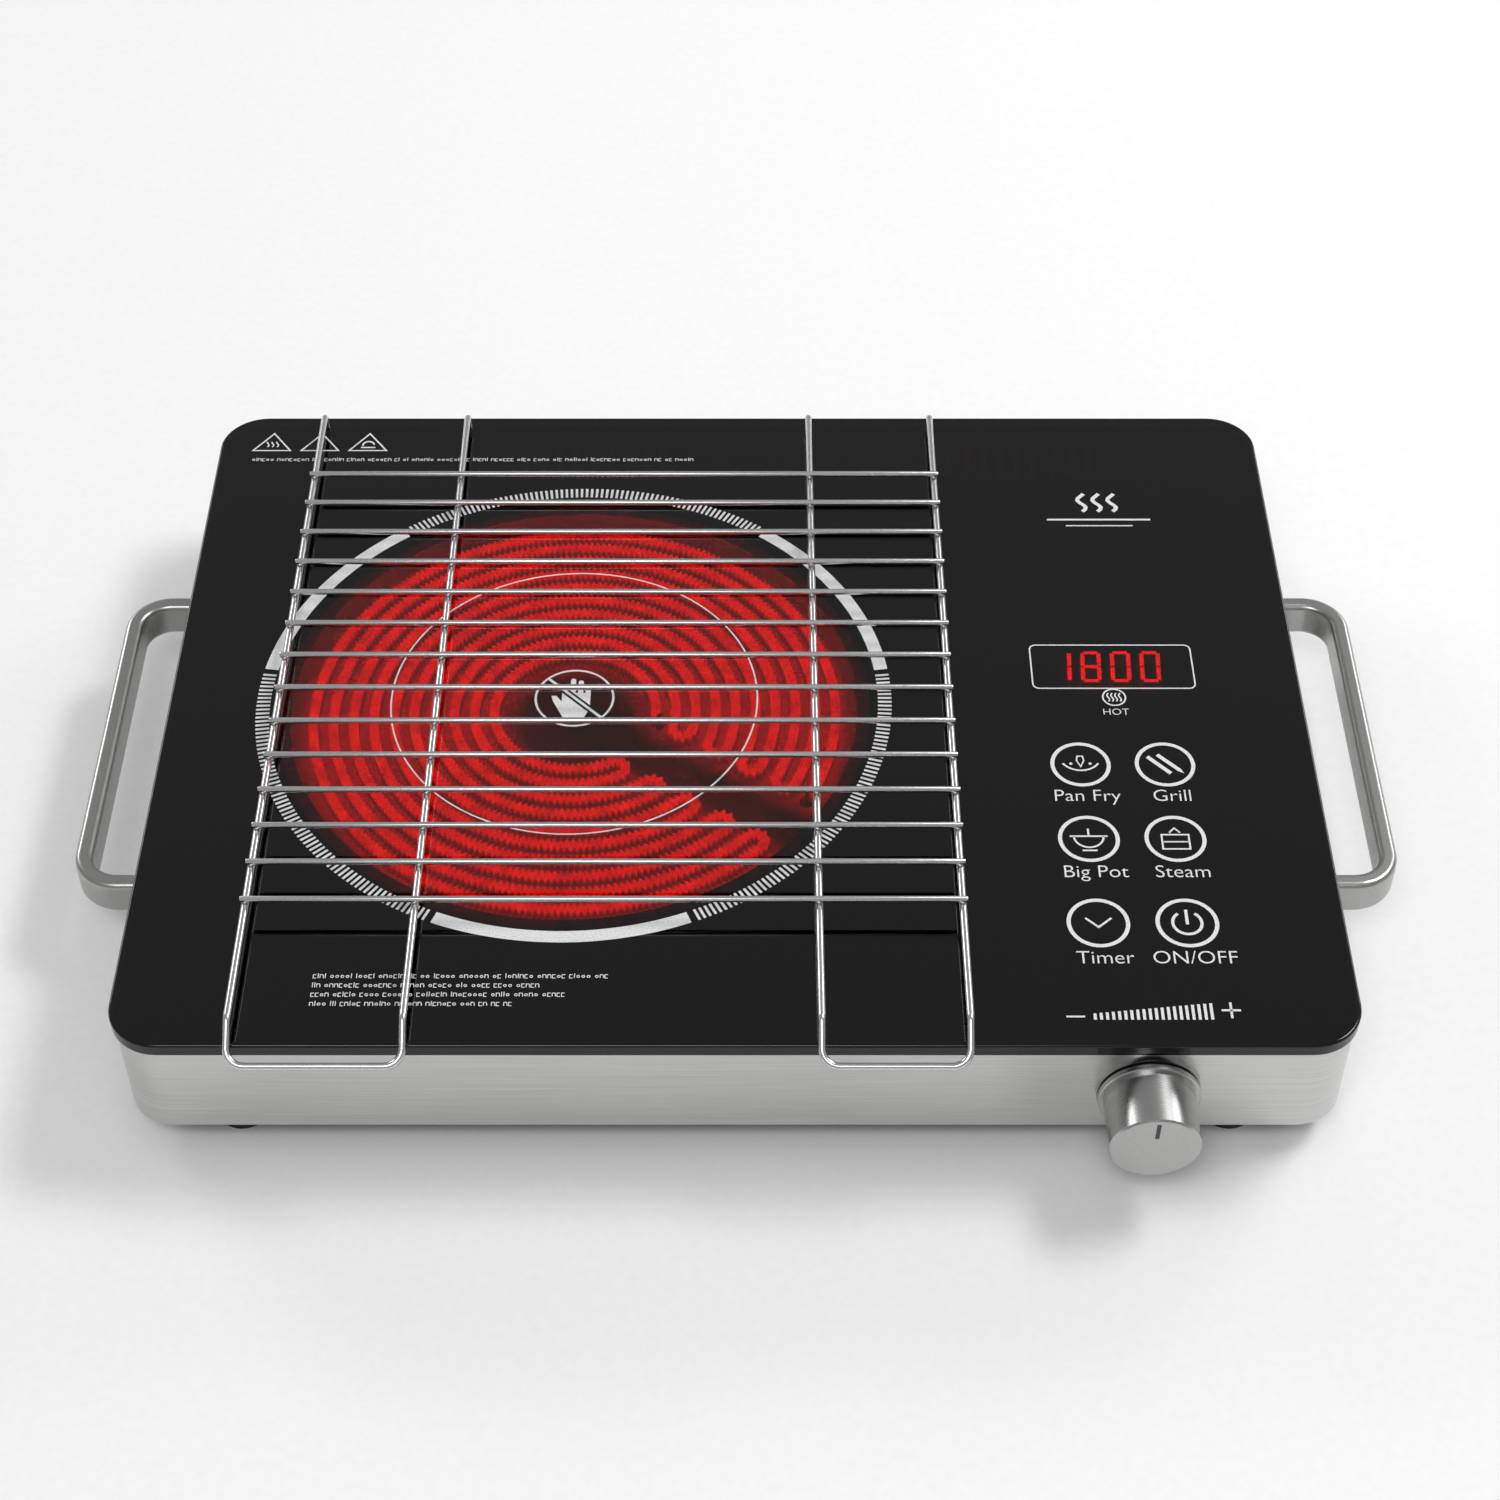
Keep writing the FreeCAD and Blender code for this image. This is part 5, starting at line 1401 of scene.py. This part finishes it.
@dataclass
class GrillRack:
    """The lift-off wire rack, in millimetres.

    Attributes:
        wire: Radius of the long wires.
        cross: Radius of the cross wires.
        cross_count: Number of cross wires.
        sides: Flats round a wire.
        lift: Height of the long wires' middle over the glass.
        hook: Depth of the front bar's middle under the glass's face.
        bend: Where the runs bend down, behind the glass's front edge.
        back: Distance of the rear feet from the glass's rear edge.
        foot_bend: Bend radius at the rear feet and the front corners.
        hook_bend: Bend radius where the runs turn down.
        bead: Reach of a weld bead along X and Y, and its height over its middle.
    """

    wire: float = 1.1
    cross: float = 0.95
    cross_count: int = 14
    sides: int = 24
    lift: float = 5.6
    hook: float = 2.2
    bend: float = 5.4
    back: float = 5.0
    foot_bend: float = 3.0
    hook_bend: float = 5.0
    bead: Triple = (1.25, 1.15, 0.55)

    def build(self) -> None:
        """Makes the loops, the cross wires and their welds."""
        runs: list[float] = []
        for name in ("rack_loop_left", "rack_loop_right"):
            low, high = (Vector(corner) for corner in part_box(name))
            left, right = low.x + self.wire * MM, high.x - self.wire * MM
            runs += [left, right]
            self.loop(name, left, right, low.y + self.wire * MM)
        self.cross_wires(runs)

    def loop(self, name: str, left: float, right: float, front: float) -> None:
        """Makes one bent loop in place of its CAD node.

        Args:
            name: The CAD node.
            left: Middle of its left run.
            right: Middle of its right run.
            front: Middle of its front bar.
        """
        top = GLASS_HIGH.z
        back = GLASS_HIGH.y - self.back * MM
        turn = GLASS_LOW.y + self.bend * MM
        half = [(back, top), (back, top + self.lift * MM), (turn, top + self.lift * MM),
                (front, top - self.hook * MM)]
        corners = [Vector((left, y, z)) for y, z in half]
        corners += [Vector((right, y, z)) for y, z in reversed(half)]
        kit = MeshKit(name + "_wire")
        foot, hook = self.foot_bend * MM, self.hook_bend * MM
        route = rounded_route(corners, [foot, foot, hook, hook, foot, foot])
        tube(kit, route, self.wire * MM, self.sides)
        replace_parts(kit.make(WIRE_STEEL, "rack", 40), name)

    def cross_wires(self, runs: Sequence[float]) -> None:
        """Makes the cross wires and a weld at each crossing.

        Args:
            runs: Where the long wires lie, from left to right.
        """
        low, high = (Vector(corner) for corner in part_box("rack_cross_wires"))
        r = self.cross * MM
        kit = MeshKit("rack_cross_wire_set")
        welds = MeshKit("rack_weld_beads")
        for i in range(self.cross_count):
            y = low.y + r + (high.y - low.y - 2 * r) * i / (self.cross_count - 1)
            z = high.z - r
            tube(kit, [Vector((low.x, y, z)), Vector((high.x, y, z))], r, self.sides, 0.6)
            for x in runs:
                self.weld(welds, Vector((x, y, z - r * 0.95)))
        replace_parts(kit.make(WIRE_STEEL, "rack", 40), "rack_cross_wires")
        # Steel that melted and froze at each crossing: a small dull bead with a fine crust.
        bead = BeltedMetal("fused weld steel", "8f8d8a", "bdbbb8", (0.22, 0.36), (1.0, 0.3),
                           Brushing.NONE, relief=0.01)
        welds.make(bead, "rack", 60)

    def weld(self, kit: MeshKit, spot: Vector) -> None:
        """Adds one small bead of fused metal round a crossing.

        Args:
            kit: The piece that gets the bead.
            spot: The bead's middle.
        """
        (wide, deep, tall), sides, levels = self.bead, 14, 7
        rings = []
        for j in range(levels):
            tilt = math.pi * (j + 0.5) / levels - math.pi / 2
            size, rise = math.cos(tilt), math.sin(tilt) * tall
            rings.append([spot + Vector((wide * size * math.cos(a), deep * size * math.sin(a),
                                         rise)) * MM
                          for a in (2 * math.pi * k / sides for k in range(sides))])
        kit.ring_strip(rings)


@dataclass
class Innards:
    """Boards, fan, terminal and wiring inside the case."""

    def build(self) -> None:
        """Dresses what the case hides."""
        # Epoxy laminate with solder mask: green with a faint grid of tracks.
        paint(CircuitBoard("green circuit board"), "control_board", "power_board")
        # Filled plastic, moulded: black, half matt.
        paint(Moulded("black moulded plastic", "17181a", "222326", 0.45, 0.5, 0.02),
              "control_standoffs", "power_standoffs", "buzzer", "microcontroller", "triac",
              "fan_frame", "fan_impeller", "display_module")
        # Cast resin over a diode: dark red with a clear gloss.
        paint(Moulded("tinted indicator resin", "5a120e", "6d1813", 0.2, 0.5, 0.005, coat=0.5),
              "hot_indicator")
        # Polyester, moulded and printed: the plain blue of bought-in parts.
        paint(Moulded("blue moulded case", "1a3a78", "214688", 0.35, 0.5, 0.01), "relay",
              "filter_capacitor")
        # Ferrite, pressed and sintered: charcoal with a stony grain.
        paint(Moulded("sintered ferrite", "232325", "303033", 0.6, 0.4, 0.03), "transformer")
        # Polyamide, moulded: off-white and slightly waxy.
        paint(Moulded("white polyamide", "d6d5cf", "e2e1db", 0.45, 0.5, 0.02),
              "mains_terminal_block")
        # Silicone, extruded over the wires: brick red and rubbery.
        paint(Moulded("silicone wire cover", "7c1a14", "8f241c", 0.55, 0.5, 0.01),
              "heater_wires", "mains_wires", "fan_lead", "board_link")
        # Zinc-dipped sheet: pale grey with large soft spangles.
        paint(BeltedMetal("galvanised sheet", "8a8f93", "b0b5b8", (0.35, 0.5), (6.0, 4.0),
                          Brushing.NONE), "heat_shield", "rotary_encoder")
        # Aluminium, extruded: long faint die lines.
        paint(BeltedMetal("extruded aluminium", "a5a6a8", "c6c7c9", (0.3, 0.42), (40.0, 0.8)),
              "heatsink")
        paint(NUT_BRASS, "encoder_nut")


@dataclass
class Studio:
    """A pale sweep, soft lights and the camera, in metres.

    Attributes:
        camera_from: The camera's place, from the middle of the glass.
        camera_down: How far the camera looks down, in degrees.
        lens: Focal length, in millimetres.
        sensor: Width of the sensor, in millimetres.
        floor_reach: Half the floor's width.
        room: How bright the room's own light is.
        backdrop: How bright the backdrop looks to the eye.
        softboxes: Name, place, width and height, and watts of each softbox.
        even_out: Makes up for what a softbox loses towards its frame.
    """

    camera_from: Triple = (0.0042, -0.6057, 0.6123)
    camera_down: float = 46.38
    lens: float = 66.9
    sensor: float = 36.0
    floor_reach: float = 3.0
    room: float = 0.41
    backdrop: float = 0.85
    softboxes: tuple[tuple[str, Triple, Point, float], ...] = (
        ("key above right", (1.4, 0.65, 2.05), (1.2, 0.8), 27),
        ("rim behind left", (-1.7, 1.7, 1.1), (1.2, 0.7), 11),
        ("rim behind right", (1.7, 1.7, 1.1), (1.2, 0.7), 10),
        ("front above", (-0.3, -1.3, 2.2), (1.6, 1.0), 17))
    even_out: float = 36.0

    def camera(self) -> None:
        """Makes the camera."""
        data = bpy.data.cameras.new("camera")
        data.lens, data.sensor_width = self.lens, self.sensor
        camera = bpy.data.objects.new("camera", data)
        camera.location = Vector((*PLATE_MIDDLE, GLASS_HIGH.z)) + Vector(self.camera_from)
        camera.rotation_euler = (math.radians(90 - self.camera_down), 0, 0)
        bpy.context.scene.collection.objects.link(camera)
        bpy.context.scene.camera = camera

    def softbox(self, name: str, place: Sequence[float], size: Point, power: float) -> None:
        """Hangs one softbox that faces the object.

        Args:
            name: The light's name.
            place: Where it hangs.
            size: Its width and height.
            power: Its power, in watts.
        """
        data = bpy.data.lights.new(name, "AREA")
        data.shape, data.size, data.size_y, data.energy = "RECTANGLE", size[0], size[1], power
        # The cloth is brightest in its middle and fades to its frame, as a real softbox does,
        # so its reflection in glass and steel has no hard edge.
        data.use_nodes = True
        tree = data.node_tree
        across = add_node(tree, "SeparateXYZ", {
            0: add_node(tree, "NewGeometry").outputs["Parametric"]})
        level: bpy.types.Node | float = self.even_out
        for axis in "XY":
            side = across.outputs[axis]
            rest = add_node(tree, "Math", {0: 1.0, 1: side}, operation="SUBTRACT")
            fade = add_node(tree, "Math", {0: side, 1: rest}, operation="MULTIPLY")
            level = add_node(tree, "Math", {0: level, 1: fade}, operation="MULTIPLY")
        tree.links.new(level.outputs[0], tree.nodes["Emission"].inputs["Strength"])
        light = bpy.data.objects.new(name, data)
        light.location = place
        light.rotation_euler = (-Vector(place)).to_track_quat("-Z", "Y").to_euler()
        bpy.context.scene.collection.objects.link(light)

    def build(self) -> None:
        """Sets floor, world, lights and camera."""
        self.floor()
        self.world()
        bpy.context.scene.view_settings.view_transform = "Standard"
        for name, place, size, power in self.softboxes:
            self.softbox(name, place, size, power)
        self.camera()

    def floor(self) -> None:
        """Lays the paper floor."""
        mesh = bpy.data.meshes.new("floor")
        corners = ((-1, -1), (1, -1), (1, 1), (-1, 1))
        mesh.from_pydata([(x * self.floor_reach, y * self.floor_reach, 0) for x, y in corners],
                         [], [(0, 1, 2, 3)])
        # Heavy matt paper, rolled out behind and under the object: white without a gloss.
        mesh.materials.append(StudioPaper("white studio paper").material())
        floor = bpy.data.objects.new("floor", mesh)
        bpy.context.scene.collection.objects.link(floor)

    def world(self) -> None:
        """Fills the room with a low even light."""
        world = bpy.data.worlds.new("soft room")
        world.use_nodes = True
        background = world.node_tree.nodes["Background"]
        background.inputs["Color"].default_value = srgb("f7f7f7")
        # The eye sees a pale backdrop, while the room's own light on the object stays low.
        seen = add_node(world.node_tree, "LightPath").outputs["Is Camera Ray"]
        glow = add_node(world.node_tree, "MapRange", {"Value": seen, "To Min": self.room,
                                                      "To Max": self.backdrop})
        world.node_tree.links.new(glow.outputs[0], background.inputs["Strength"])
        bpy.context.scene.world = world


def main() -> None:
    """Builds each sub-assembly in order."""
    logging.basicConfig(level=logging.INFO, format="%(message)s")
    builders = (Case(), CookZone(), PlateMarks(), ControlPanel(), Heater(), PowerKnob(),
                GrillRack(), Innards(), Studio())
    for builder in builders:
        LOG.info("building %s", type(builder).__name__)
        builder.build()


if __name__ == "__main__":
    main()
